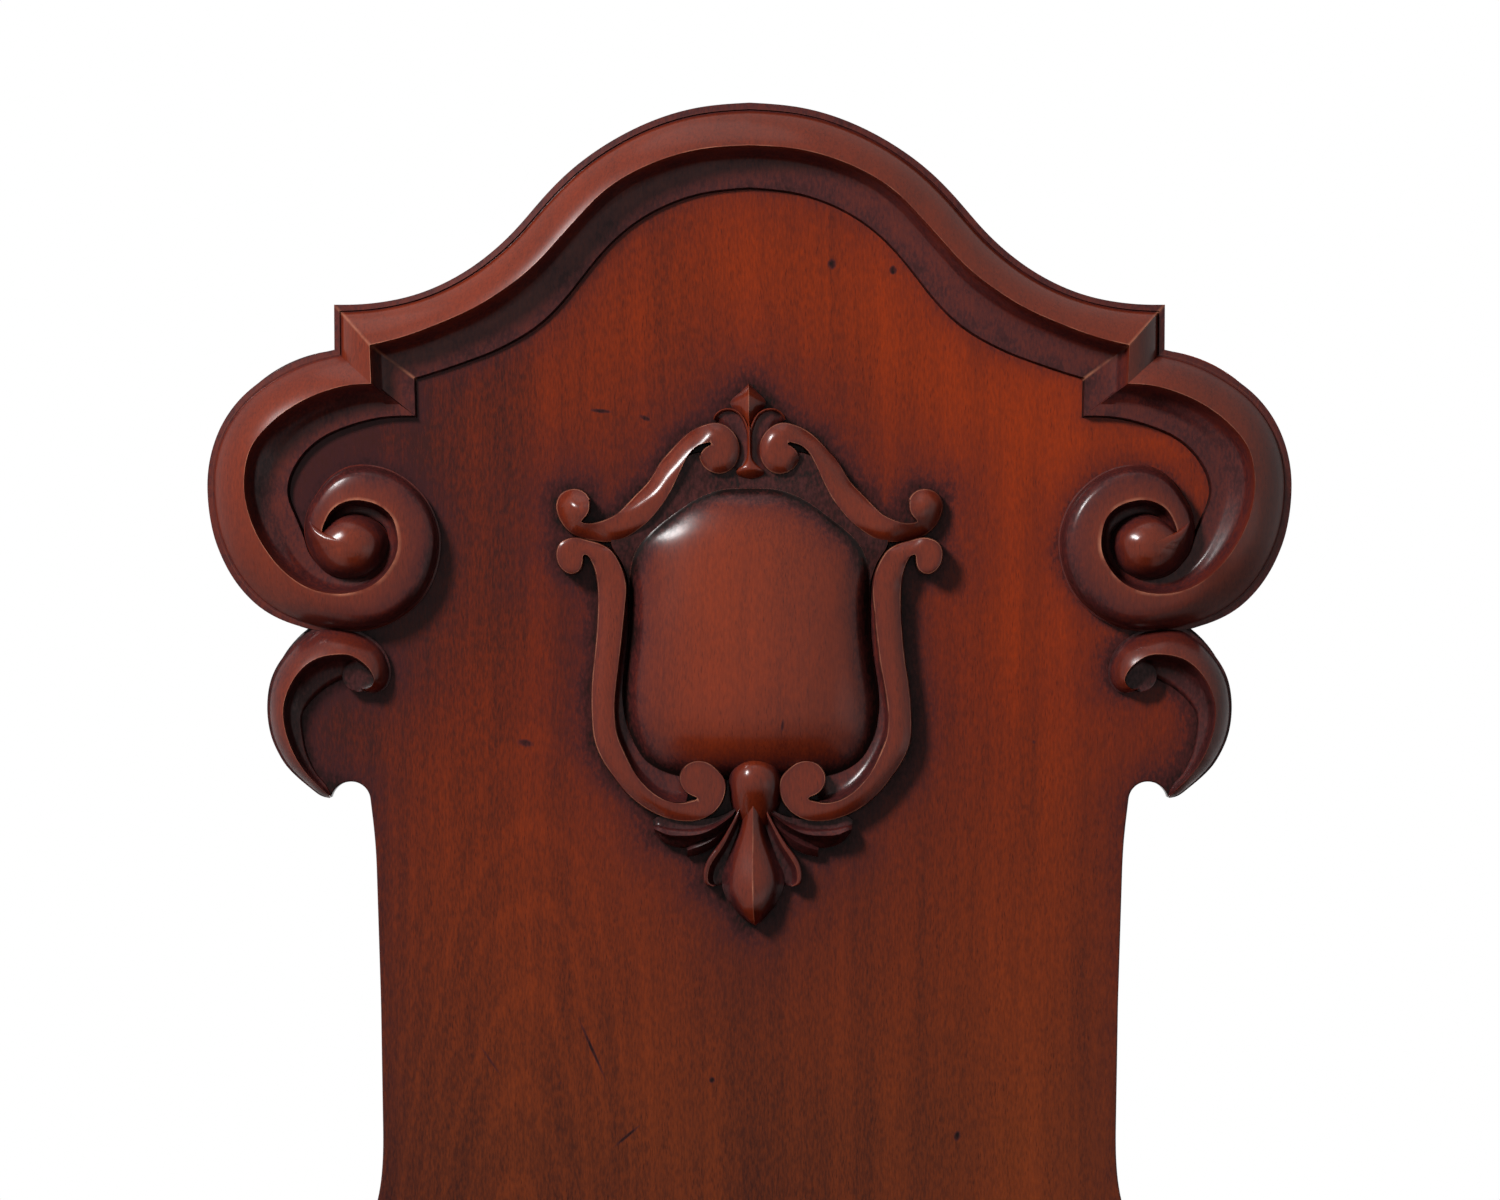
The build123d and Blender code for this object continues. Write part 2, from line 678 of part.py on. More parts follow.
# Back legs: straight between the rails, then swept back to the floor
with BuildPart() as right_back_leg:
    with BuildSketch(Plane.YZ.offset(back_leg_x)):
        with BuildLine():
            knee = seat_under_height - back_leg_straight
            front_line_y = back_rail_back_y - back_leg_depth
            heel_y = overall_depth / 2
            toe_y = heel_y - back_leg_foot_depth
            Polyline((front_line_y, knee), (front_line_y, seat_under_height),
                     (back_rail_back_y, seat_under_height), (back_rail_back_y, knee))
            TangentArc((back_rail_back_y, knee), (heel_y, 0), tangent=(0, -1))
            Line((heel_y, 0), (toe_y, 0))
            TangentArc((front_line_y, knee), (toe_y, 0), tangent=(0, -1))
        make_face()
    extrude(amount=back_leg_width / 2, both=True)
    long_edges = right_back_leg.edges().filter_by(Axis.X, reverse=True)
    chamfer(long_edges.filter_by(lambda edge: edge.length > back_leg_depth * 2), back_leg_chamfer)
    cut_tenons(back_ends, back_tenons, joint_clearance)
    cut_tenons(side_ends, side_tenons, joint_clearance)
    add(corner_screws.part, mode=Mode.SUBTRACT)

# Seat rails
rails = (
    ("front_rail", front_ends, front_tenons, rail_thickness, across),
    ("back_rail", back_ends, back_tenons, back_rail_thickness, across),
    ("right_side_rail", side_ends, side_tenons, rail_thickness, backwards),
)
for name, ends, tenons, thickness, facing in rails:
    face = rail_plane(ends)
    length = (ends[1] - ends[0]).length
    with BuildPart() as rail:
        with BuildSketch(face):
            with Locations((length / 2, 0)):
                Rectangle(length + overrun * 2, rail_height)
        extrude(amount=thickness / 2, both=True)
        low_outer_edge = rail.edges().group_by(Axis.Z)[0].sort_by(Axis(face.origin, face.z_dir))[-1]
        fillet(low_outer_edge, rail_low_round)
        split(bisect_by=Plane(origin=(ends[0].X, ends[0].Y, 0), z_dir=facing), keep=Keep.TOP)
        split(bisect_by=Plane(origin=(ends[1].X, ends[1].Y, 0), z_dir=-facing), keep=Keep.TOP)
        cut_tenons(ends, tenons)
        if name == "back_rail":
            cut_board_tenons(joint_clearance)
            add(back_pegs.part, mode=Mode.SUBTRACT)
    rail.part.label = name
    export_step(rail.part, f"parts/{name}.step")
    if name == "right_side_rail":
        with BuildPart() as left_side_rail:
            mirror(rail.part, about=Plane.YZ)
        left_side_rail.part.label = "left_side_rail"
        export_step(left_side_rail.part, "parts/left_side_rail.step")

# Corner blocks, notched round the legs
leg_plans = {
    "front": ((front_leg_x, front_leg_y), (block_width, block_width)),
    "back": ((back_leg_x, back_leg_y), (back_leg_width, back_leg_depth)),
}
framing = {"front_leg": right_front_leg, "back_leg": right_back_leg}
for end, (centre, plan) in leg_plans.items():
    with BuildPart() as block:
        with BuildSketch(Plane.XY.offset(seat_under_height)):
            Polygon(*[(spot.X, spot.Y) for spot in corner_outlines[end]], align=None)
            with Locations(centre):
                Rectangle(plan[0] + joint_clearance * 2, plan[1] + joint_clearance * 2, mode=Mode.SUBTRACT)
        extrude(amount=-corner_block_height)
        add(corner_screws.part, mode=Mode.SUBTRACT)
        add(seat_screws.part, mode=Mode.SUBTRACT)
    framing[f"{end}_corner_block"] = block

for name, right in framing.items():
    with BuildPart() as left:
        mirror(right.part, about=Plane.YZ)
    right.part.label = "right_" + name
    left.part.label = "left_" + name
    export_step(right.part, f"parts/right_{name}.step")
    export_step(left.part, f"parts/left_{name}.step")

# Glue blocks rubbed into the angle of the seat and the front and side rails, their free edges cut off
glue_places = (
    (front_ends, front_shoulder_x + corner_outlines["front"][1].X / 2),
    (side_ends, (side_ends[1] - side_ends[0]).length / 2),
)
with BuildPart() as glue_blocks:
    for ends, distance in glue_places:
        face = rail_plane(ends)
        near, far = rail_thickness / 2, rail_thickness / 2 + glue_block_side
        high, low = rail_height / 2, rail_height / 2 - glue_block_side
        middle = face.origin + face.x_dir * distance
        with BuildSketch(Plane(origin=middle, x_dir=-face.z_dir, z_dir=face.x_dir)):
            Polygon((near, high), (near, low), (far - glue_block_chamfer, low),
                    (far, low + glue_block_chamfer), (far, high), align=None)
        extrude(amount=glue_block_length / 2, both=True)
    mirror(about=Plane.YZ)
glue_blocks.part.label = "glue_blocks"
export_step(glue_blocks.part, "parts/glue_blocks.step")

# Seat board: a thumb-moulded slab above a thinner step
def seat_outline(height, inset=0):
    """The seat seen from above: a bowed front, sides that draw in, and rounded corners."""
    with BuildSketch(Plane.XY.offset(height)) as outline:
        with BuildLine():
            half_front, half_back = seat_front_width / 2, seat_back_width / 2
            ThreePointArc((-half_front, seat_corner_y), (0, seat_front_y), (half_front, seat_corner_y))
            Polyline((half_front, seat_corner_y), (half_back, seat_back_y), (-half_back, seat_back_y),
                     (-half_front, seat_corner_y))
        make_face()
        fillet(outline.vertices().group_by(Axis.Y)[0], seat_front_corner_radius)
        fillet(outline.vertices().group_by(Axis.Y)[-1], seat_back_corner_radius)
        if inset:
            offset(amount=-inset, kind=Kind.INTERSECTION)
    return outline.sketch


with BuildPart() as seat_board:
    extrude(seat_outline(seat_under_height + seat_step_height), amount=seat_thickness - seat_step_height)
    fillet(seat_board.faces().sort_by(Axis.Z)[-1].edges(), seat_top_round)
    fillet(seat_board.faces().sort_by(Axis.Z)[0].edges(), seat_low_round)
    extrude(seat_outline(seat_under_height, seat_step_inset), amount=seat_step_height)
    cut_board_tenons(joint_clearance)
    add(seat_screws.part, mode=Mode.SUBTRACT)
seat_board.part.label = "seat_board"
export_step(seat_board.part, "parts/seat_board.step")
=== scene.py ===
import json
import math

import bmesh
import bpy
import numpy as np
from mathutils import Matrix, Vector
from mathutils.geometry import delaunay_2d_cdt


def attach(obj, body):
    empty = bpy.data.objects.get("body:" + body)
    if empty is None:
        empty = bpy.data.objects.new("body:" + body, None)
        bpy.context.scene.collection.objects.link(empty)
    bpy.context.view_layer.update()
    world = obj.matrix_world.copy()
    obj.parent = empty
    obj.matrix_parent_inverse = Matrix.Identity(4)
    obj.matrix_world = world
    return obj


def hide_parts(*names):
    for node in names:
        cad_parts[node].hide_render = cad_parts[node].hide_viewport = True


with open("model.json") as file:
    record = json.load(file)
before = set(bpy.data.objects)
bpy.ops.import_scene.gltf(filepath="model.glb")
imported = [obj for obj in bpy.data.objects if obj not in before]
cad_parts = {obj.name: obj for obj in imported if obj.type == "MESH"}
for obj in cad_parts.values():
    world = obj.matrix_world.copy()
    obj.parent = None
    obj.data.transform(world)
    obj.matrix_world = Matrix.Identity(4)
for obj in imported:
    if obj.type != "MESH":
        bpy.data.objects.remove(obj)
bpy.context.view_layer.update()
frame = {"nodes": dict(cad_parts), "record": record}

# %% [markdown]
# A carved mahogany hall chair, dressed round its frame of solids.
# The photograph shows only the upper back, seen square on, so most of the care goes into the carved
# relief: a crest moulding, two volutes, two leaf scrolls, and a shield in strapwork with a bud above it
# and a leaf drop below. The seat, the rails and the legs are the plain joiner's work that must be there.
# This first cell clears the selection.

bpy.ops.object.select_all(action="DESELECT")

# %% [markdown]
# The back leans by six degrees, and everything carved on it is laid out on its face.
# A carver would prick the pattern through from a drawing. Here the drawing is the photograph, taken
# square to the board: a place is two numbers, across and down in its pixels, and a third for the height
# above the board's face in millimetres. This function turns such places into the room's metres.

# %% The drawing on the board's face
MM = 0.001
AXIS_PX, FOOT_PX = 749.5, 1290
MM_PER_PX = 432.4 / 1081
RAKE = math.radians(6)
BOARD_FOOT = np.array([0, 0.132, 0.445])
ACROSS = np.array([1.0, 0, 0])
UP_BOARD = np.array([0, math.sin(RAKE), math.cos(RAKE)])
OUT_OF_BOARD = np.array([0, -math.cos(RAKE), math.sin(RAKE)])


def on_board(px, height):
    """Places of the drawing, at heights in millimetres above the board's face, in the room's metres."""
    px, height = np.asarray(px, float), np.asarray(height, float)
    along = (px[..., 0] - AXIS_PX) * MM_PER_PX * MM
    up = (FOOT_PX - px[..., 1]) * MM_PER_PX * MM
    return (BOARD_FOOT + along[..., None] * ACROSS + up[..., None] * UP_BOARD
            + (height * MM)[..., None] * OUT_OF_BOARD)


print("top of the crown:", on_board([AXIS_PX, 103], 0).round(4))

# %% [markdown]
# Carved lines are sweet curves with no flats in them. A spline that keeps its curvature even through
# each measured place gives that, and a highlight that runs along such a curve doesn't wobble.


# %% Sweet curves
def sweet_curve(rows, count, width=2):
    """Runs a natural cubic spline through rows of numbers and reads it at even steps.
    The first width numbers of a row are places on the drawing, and the steps are measured there."""
    rows = np.array(rows, float)
    places = rows[:, :width].reshape(len(rows), -1, 2)
    steps = np.linalg.norm(np.diff(places, axis=0), axis=2).mean(axis=1)
    knots = np.concatenate([[0], np.cumsum(steps)])
    gaps = np.diff(knots)
    system = np.eye(len(knots))
    pull = np.zeros_like(rows)
    for i in range(1, len(knots) - 1):
        system[i, i - 1:i + 2] = gaps[i - 1], 2 * (gaps[i - 1] + gaps[i]), gaps[i]
        pull[i] = 6 * ((rows[i + 1] - rows[i]) / gaps[i] - (rows[i] - rows[i - 1]) / gaps[i - 1])
    bend = np.linalg.solve(system, pull)
    at = np.linspace(0, knots[-1], count)
    k = np.clip(np.searchsorted(knots, at, side="right") - 1, 0, len(gaps) - 1)
    gap = gaps[k][:, None]
    b = ((at - knots[k]) / gaps[k])[:, None]
    a = 1 - b
    return (a * rows[k] + b * rows[k + 1]
            + ((a**3 - a) * bend[k] + (b**3 - b) * bend[k + 1]) * gap**2 / 6)


def even_line(points, count):
    """The same curve, read again at steps of even length."""
    fine = sweet_curve(points, 40 * len(points))
    length = np.concatenate([[0], np.cumsum(np.linalg.norm(np.diff(fine, axis=0), axis=1))])
    at = np.linspace(0, length[-1], count)
    return np.stack([np.interp(at, length, fine[:, 0]), np.interp(at, length, fine[:, 1])], axis=1)


# %% [markdown]
# On the real chair each strip of carving was cut with the same few gouges from end to end, so its section
# stays alike while its width swells and dies away. An extrude along a path can't change its width like
# this, so these strips are made in mesh code: guide lines on the drawing, and one section laid across them
# at every step. The mesh also carries two numbers at each point. The first darkens it: old wax, and painted
# shade in deep hollows and on sides turned from the lamp. Wear says how rubbed the arris is. The finish reads both.

# %% A mesh from a net of places
SUNK_MM = -0.4
# A painted highlight: a light line along each mitre, where the light catches it.
MITRE_GLINT = 0.8


def select_only(*pieces):
    bpy.ops.object.select_all(action="DESELECT")
    for piece in pieces:
        piece.select_set(True)
    bpy.context.view_layer.objects.active = pieces[0]


def set_marks(mesh, wax_and_shade, wear):
    """Writes the two numbers that the finish reads at each point."""
    # The first number darkens: old wax, and painted shade in hollows and on sides turned from the lamp.
    for label, values in (("wax_and_shade", wax_and_shade), ("wear", wear)):
        mesh.attributes.new(label, "FLOAT", "POINT").data.foreach_set("value", np.asarray(values, np.float32))


def add_piece(name, verts, faces, wax_and_shade, wear, sharp=(), smooth_angle=32):
    """A closed piece with its wax and painted shade, its wear, outward normals, and the bend up to which it looks
    smooth.
    """
    mesh = bpy.data.meshes.new(name)
    mesh.from_pydata([tuple(v) for v in verts], [], [tuple(int(i) for i in f) for f in faces])
    set_marks(mesh, wax_and_shade, wear)
    sharp = {tuple(sorted(pair)) for pair in sharp}
    piece = bpy.data.objects.new(name, mesh)
    bpy.context.collection.objects.link(piece)
    select_only(piece)
    bpy.ops.object.mode_set(mode="EDIT")
    bpy.ops.mesh.select_all(action="SELECT")
    bpy.ops.mesh.normals_make_consistent(inside=False)
    bpy.ops.object.mode_set(mode="OBJECT")
    for edge in mesh.edges:
        edge.use_edge_sharp = tuple(sorted(edge.vertices)) in sharp
    bpy.ops.object.shade_smooth_by_angle(angle=math.radians(smooth_angle), keep_sharp_edges=True)
    piece.select_set(False)
    return piece


def net_faces(rows, columns):
    """Quads between neighbours of a net of rows and columns of points."""
    i, j = np.meshgrid(np.arange(rows - 1), np.arange(columns - 1), indexing="ij")
    a = (i * columns + j).ravel()
    return np.stack([a, a + 1, a + columns + 1, a + columns], axis=1)


def round_over(start, end, low, high, slopes, steps=7, wax_and_shade=0.0, clean=1.0):
    """Points of a rounding between two places, from one slope to the other in degrees.
    Its darkening, old wax and painted shade, falls evenly from the outer guide line to the place that is clean."""
    turn = np.radians(np.linspace(*slopes, steps))
    across = (np.sin(turn[0]) - np.sin(turn)) / (np.sin(turn[0]) - np.sin(turn[-1]))
    rise = (np.cos(turn) - np.cos(turn[0])) / (np.cos(turn[-1]) - np.cos(turn[0]))
    places = start + (end - start) * across
    return list(zip(places, low + (high - low) * rise, wax_and_shade * np.clip(1 - places / clean, 0, None)))


def section_of(*runs):
    """One section from smooth runs that meet at arrises. A run is (points, steps), and its points are
    (place among the guides, height in millimetres, wax and painted shade). The last number of each row says where the
    arrises are. A point close beside each arris keeps its worn line thin."""
    rows = []
    for number, (points, steps) in enumerate(runs):
        curve = sweet_curve(points, steps) if len(points) > 2 else np.linspace(points[0], points[-1], steps)
        curve = np.vstack([curve[0], curve[0] * 0.75 + curve[1] * 0.25, curve[1:-1],
                           curve[-1] * 0.75 + curve[-2] * 0.25, curve[-1]])
        worn = np.zeros((len(curve), 1))
        if number:
            curve, worn = curve[1:], worn[1:]
            rows[-1][-1, 3] = max(0, 1 - 2 * rows[-1][-1, 2])
        rows.append(np.hstack([curve, worn]))
    return np.vstack(rows)


def lay_strip(name, guides, sections, share=None, weights=None, corners=()):
    """A strip of carving: guides is (lines, steps, 2) on the drawing, and the section crosses them.
    With several sections, weights says how much of each one every step takes."""
    guides = np.asarray(guides, float)
    lines, steps = guides.shape[:2]
    sections = np.asarray(sections, float).reshape(-1, *np.shape(sections)[-2:])
    weights = np.ones((steps, 1)) if weights is None else np.asarray(weights, float)
    mixed = np.tensordot(weights, sections, 1)
    place, height, wax_and_shade, wear = mixed.transpose(2, 0, 1)
    low = np.clip(place.astype(int), 0, lines - 2)
    part = (place - low)[..., None]
    step = np.arange(steps)[:, None]
    net = guides[low, step] * (1 - part) + guides[low + 1, step] * part
    share = np.ones(steps) if share is None else np.asarray(share, float)
    heights = np.where(height > 0, height * share[:, None], height)
    verts = on_board(net, heights).reshape(-1, 3)
    across = mixed.shape[1]
    faces = [tuple(f) for f in net_faces(steps, across)]
    faces += [(r * across, (r + 1) * across, (r + 2) * across - 1, (r + 1) * across - 1)
              for r in range(steps - 1)]
    faces += [tuple(range(across)), tuple(range((steps - 1) * across, steps * across))]
    wear = wear.copy()
    sharp = []
    for r in corners:
        # Each mitre row is lightened in the rubbed colour: a painted highlight where the light catches the mitre.
        wear[r] = np.maximum(wear[r], MITRE_GLINT * (height[r] > 0))
        sharp += [(r * across + j, r * across + j + 1) for j in range(across - 1)]
    return add_piece(name, verts, faces, wax_and_shade.ravel(), wear.ravel(), sharp)


def guides_of(rows, steps):
    """Guide lines from rows that each name one place on every line. A number after the places is a share
    of the section's height, and a row without one keeps the share above it."""
    lines = sum(isinstance(place, tuple) for place in rows[0])
    flat, share = [], 1
    for row in rows:
        share = row[lines] if len(row) > lines else share
        flat.append([*np.ravel(row[:lines]), share])
    curve = sweet_curve(flat, steps, lines * 2)
    return curve[:, :-1].reshape(steps, lines, 2).transpose(1, 0, 2), curve[:, -1]


def as_drawn(places):
    return np.array(places, float)


def mirrored(places, axis=lambda y: AXIS_PX):
    """The same places on the other side of the back's middle line."""
    places = np.array(places, float)
    middle = np.vectorize(axis)(places[..., 1])
    places[..., 0] = middle * 2 - places[..., 0]
    return places


# %% [markdown]
# The finish comes next, because it ties the whole chair together. Its nodes are made by a few small helpers:
# one adds a node and links its inputs, the others are sums, a change of range and a mix of two colours.


# %% Node helpers
def new_group(name, ins, outs):
    group = bpy.data.node_groups.new(name, "ShaderNodeTree")
    for label, kind, value in ins:
        socket = group.interface.new_socket(label, in_out="INPUT", socket_type="NodeSocket" + kind)
        if value is not None:
            socket.default_value = value
    for label, kind in outs:
        group.interface.new_socket(label, in_out="OUTPUT", socket_type="NodeSocket" + kind)
    return group, group.nodes.new("NodeGroupInput"), group.nodes.new("NodeGroupOutput")


def node(tree, kind, inputs=None, **settings):
    """Adds a node, sets what it is given, and links the inputs that are sockets."""
    made = tree.nodes.new("ShaderNode" + kind)
    for key, value in settings.items():
        setattr(made, key, value)
    for key, value in (inputs or {}).items():
        if isinstance(value, bpy.types.NodeSocket):
            tree.links.new(value, made.inputs[key])
        else:
            made.inputs[key].default_value = value
    return made


def maths(tree, operation, a, b=0.5, clamp=False):
    return node(tree, "Math", {0: a, 1: b}, operation=operation, use_clamp=clamp).outputs[0]


def total_of(tree, *terms, clamp=False):
    """The sum of several sockets, with one node for each plus sign."""
    total = terms[0]
    for number, term in enumerate(terms[1:], 2):
        total = maths(tree, "ADD", total, term, clamp=clamp and number == len(terms))
    return total


def spread(tree, value, low, high, to_low=0.0, to_high=1.0):
    return node(tree, "MapRange", {"Value": value, "From Min": low, "From Max": high,
                                   "To Min": to_low, "To Max": to_high}).outputs["Result"]


def blend(tree, share, a, b, mode="MIX"):
    made = node(tree, "Mix", data_type="RGBA", blend_type=mode)
    for socket, value in ((made.inputs["Factor"], share), (made.inputs[6], a), (made.inputs[7], b)):
        if isinstance(value, bpy.types.NodeSocket):
            tree.links.new(value, socket)
        else:
            socket.default_value = value
    return made.outputs[2]


def stretched(tree, vector, scale):
    return node(tree, "Mapping", {"Vector": vector, "Scale": scale}).outputs[0]


def noise(tree, vector, scale, detail, roughness=0.5, output="Fac"):
    """Noise whose grain is as fine as three numbers say, one for each direction of the room."""
    return node(tree, "TexNoise", {"Vector": stretched(tree, vector, scale), "Scale": 1.0, "Detail": detail,
                                   "Roughness": roughness}).outputs[output]


def new_material(name):
    material = bpy.data.materials.new(name)
    material.use_nodes = True
    return material, material.node_tree, material.node_tree.nodes["Principled BSDF"]


def rgb(r, g, b):
    """A colour written as the photograph's 0 to 255, as the light value that the shader wants."""
    return (*[((v / 255 + 0.055) / 1.055) ** 2.4 if v > 10 else v / 255 / 12.92 for v in (r, g, b)], 1)


# %% [markdown]
# Cuban mahogany is a deep red brown with darker ribbons, fine flecks, and short dark pores. It could be a
# picture, but layers of stretched noise stay sharp at any distance. The figure reads Object coordinates,
# because the grain runs straight up through board and carving, and it is a group, so that each part of the
# chair can have its own tone from the same timber.

# %% Mahogany: ribbons, flecks and pores
figure, fig_in, fig_out = new_group(
    "Mahogany figure",
    [("Vector", "Vector", None), ("Dark", "Color", rgb(84, 32, 18)), ("Light", "Color", rgb(116, 48, 22)),
     ("Ribbon", "Float", 0.5), ("Pores", "Float", 0.5), ("Tone", "Float", 0.0)],
    [("Color", "Color"), ("Height", "Float"), ("Roughness", "Float")])
place = fig_in.outputs["Vector"]
sway = noise(figure, place, (9, 9, 3), 2.0, output="Color")
for operation, inputs in (("SUBTRACT", {1: (0.5, 0.5, 0.5)}), ("SCALE", {"Scale": 0.018}), ("ADD", {1: place})):
    sway = node(figure, "VectorMath", {0: sway, **inputs}, operation=operation).outputs[0]
ribbon = noise(figure, sway, (62, 20, 1.6), 4.0, 0.6)
streak = noise(figure, sway, (420, 120, 9), 3.0, 0.65)
drift = noise(figure, place, (7, 7, 3.4), 2.0)
fleck = noise(figure, sway, (1250, 900, 300), 2.0, 0.6)
tone = total_of(
    figure,
    *[maths(figure, "MULTIPLY", spread(figure, layer, low, high), share) for layer, low, high, share in (
        (ribbon, 0.32, 0.68, fig_in.outputs["Ribbon"]), (streak, 0.3, 0.7, 0.09), (drift, 0.3, 0.7, 0.18),
        (fleck, 0.34, 0.66, 0.26))],
    fig_in.outputs["Tone"], clamp=True)
wood = blend(figure, tone, fig_in.outputs["Dark"], fig_in.outputs["Light"])
pore = node(figure, "TexVoronoi", {"Vector": stretched(figure, sway, (1500, 1100, 210)), "Scale": 1.0,
                                   "Randomness": 1.0}).outputs["Distance"]
pore_field = noise(figure, sway, (330, 200, 36), 1.0)
pore = maths(figure, "MULTIPLY", spread(figure, pore, 0.34, 0.12), spread(figure, pore_field, 0.46, 0.6))
pore = maths(figure, "MULTIPLY", pore, fig_in.outputs["Pores"], clamp=True)
wood = blend(figure, pore, wood, blend(figure, 1.0, wood, rgb(120, 96, 92), "MULTIPLY"))
figure.links.new(wood, fig_out.inputs["Color"])
figure.links.new(maths(figure, "SUBTRACT", maths(figure, "MULTIPLY", streak, 0.25), pore), fig_out.inputs["Height"])
figure.links.new(spread(figure, streak, 0.2, 0.8, 0.22, 0.3), fig_out.inputs["Roughness"])
print("figure group:", len(figure.nodes), "nodes")

# %% [markdown]
# A hundred and fifty years of wax and dust lie in every hollow, as a greyish black that stops the red, and
# the arrises are rubbed down to a lighter line. The same dark mix also paints shade into deep hollows and
# on sides turned from the lamp. Both masks come with the mesh. Noise breaks their edges, because dirt never
# ends in a clean line.

# %% Old wax and painted shade in the hollows, and rubbed arrises
age, age_in, age_out = new_group(
    "Wax, painted shade and wear",
    [("Color", "Color", None), ("Wax and shade", "Float", 0.0), ("Wear", "Float", 0.0), ("Vector", "Vector", None),
     ("Roughness", "Float", 0.3), ("Haze", "Float", 0.0), ("Gloss", "Float", 0.4),
     ("Rubbed", "Color", rgb(176, 112, 86))],
    [("Color", "Color"), ("Roughness", "Float"), ("Coat Weight", "Float")])
smudge = node(age, "TexNoise", {"Vector": age_in.outputs["Vector"], "Scale": 90.0, "Detail": 4.0,
                                "Roughness": 0.6}).outputs["Fac"]
crumbs = noise(age, age_in.outputs["Vector"], (900, 900, 420), 2.0, 0.6)
patchy = maths(age, "MULTIPLY", spread(age, smudge, 0.25, 0.75, 0.7, 1.2),
               spread(age, crumbs, 0.35, 0.65, 0.78, 1.22))
# Old wax, and painted shade where the mesh marks deep or turned-away places.
grime_and_shade = maths(age, "MULTIPLY", age_in.outputs["Wax and shade"], patchy, clamp=True)
# The purple in this dark colour is a painted sheen, a reflection, over the wax and painted shade.
darkening_and_sheen = blend(age, spread(age, grime_and_shade, 0.0, 0.55, 0.0, 0.85), age_in.outputs["Color"], rgb(56, 26, 29))
# Nearly black where the mask is full: old wax, and painted shade in the deepest hollows.
dark_wax_and_shade = blend(age, spread(age, grime_and_shade, 0.45, 1.0), darkening_and_sheen, rgb(24, 15, 14))
rub = maths(age, "MULTIPLY", age_in.outputs["Wear"], spread(age, smudge, 0.38, 0.66, 0.05, 0.9), clamp=True)
rubbed = blend(age, rub, dark_wax_and_shade, age_in.outputs["Rubbed"])
age.links.new(rubbed, age_out.inputs["Color"])
age.links.new(total_of(age, age_in.outputs["Roughness"], age_in.outputs["Haze"],
                       maths(age, "MULTIPLY", grime_and_shade, 0.06)), age_out.inputs["Roughness"])
age.links.new(maths(age, "MULTIPLY", age_in.outputs["Gloss"], spread(age, grime_and_shade, 0.0, 0.8, 1.0, 0.25)),
              age_out.inputs["Coat Weight"])

# %% [markdown]
# The board has a life of its own: it is redder and darker to the left, more orange to the right, and low on
# the left the saw met the curved growth figure. Small dents, specks and two scratches have filled with wax.

# %% The board's own figure, and old knocks
def oval(tree, vector, px, py, half_width, half_height, lean):
    """How far out of an oval on the board's face a point lies, with 1 at its edge. Sizes in pixels."""
    scale = (half_width * MM_PER_PX * MM, 1e3, half_height * MM_PER_PX * MM)
    local = node(tree, "Mapping", {"Vector": vector, "Location": tuple(on_board([px, py], 0)),
                                   "Rotation": (0, math.radians(lean), 0), "Scale": scale}, vector_type="TEXTURE")
    return node(tree, "VectorMath", {0: local.outputs[0]}, operation="LENGTH").outputs["Value"]


knocks, knock_in, knock_out = new_group("Old knocks", [("Vector", "Vector", None)],
                                        [("Fac", "Float")])
deepest = 0.0
for px, py, wide, high, lean, depth in (
        (832, 264, 4, 5, 0, 1), (893, 270, 3.8, 4.4, 0, 1), (957, 1136, 3, 4.6, 10, 1),
        (712, 1080, 2.8, 2.8, 0, 0.9), (601, 411, 10, 2, 5, 0.9), (645, 418, 6, 2.4, 25, 0.9),
        (525, 743, 8.5, 4, 10, 0.75), (592, 1049, 1.5, 30, -24, 0.8), (627, 1136, 1.5, 15, 50, 0.8),
        (490, 1060, 1.2, 16, -35, 0.5), (1034, 742, 2, 2, 0, 0.5), (560, 1083, 1.6, 1.6, 0, 0.4),
        (782, 722, 1.6, 7, 8, 0.6), (804, 553, 2, 2, 0, 0.3)):
    mark = spread(knocks, oval(knocks, knock_in.outputs["Vector"], px, py, wide, high, lean), 0.5, 1.3, depth, 0)
    deepest = maths(knocks, "MAXIMUM", deepest, mark)
knocks.links.new(deepest, knock_out.inputs["Fac"])

growth, growth_in, growth_out = new_group("Growth figure", [("Vector", "Vector", None)],
                                          [("Tone", "Float"), ("Light", "Color")])
spot = growth_in.outputs["Vector"]
wander = noise(growth, spot, (22, 22, 7), 3.0)
rings = total_of(growth, oval(growth, spot, 512, 1300, 50, 200, 3), maths(growth, "MULTIPLY", wander, 0.55))
waves = maths(growth, "SINE", maths(growth, "MULTIPLY", rings, 15.0))
waves = maths(growth, "MULTIPLY", spread(growth, waves, 0.3, 1.0, -0.03, 0.06),
              spread(growth, rings, 2.6, 3.6, 1.0, 0.0))
x, _, z = node(growth, "SeparateXYZ", {0: spot}).outputs[:3]
side = maths(growth, "MULTIPLY", spread(growth, x, -0.16, 0.15, -0.36, 0.27),
             spread(growth, z, 0.62, 0.86, 0.4, 1.6))
height = spread(growth, z, 0.5, 0.86, -0.06, 0.07)
speck = spread(growth, noise(growth, spot, (6, 6, 4), 2.0), 0.3, 0.7, -0.12, 0.12)
growth.links.new(total_of(growth, waves, side, height, speck), growth_out.inputs["Tone"])
growth.links.new(blend(growth, spread(growth, z, 0.5, 0.68), rgb(144, 62, 20), rgb(159, 52, 5)),
                 growth_out.inputs["Light"])
print("knocks and figure:", len(knocks.nodes), len(growth.nodes), "nodes")

# %% [markdown]
# French polish is shellac rubbed on in many thin coats, so it is a clear coat over wood that hardly shines
# by itself. The carving has more of it than the board. Each wood is the same groups with its own two
# colours and grain direction.


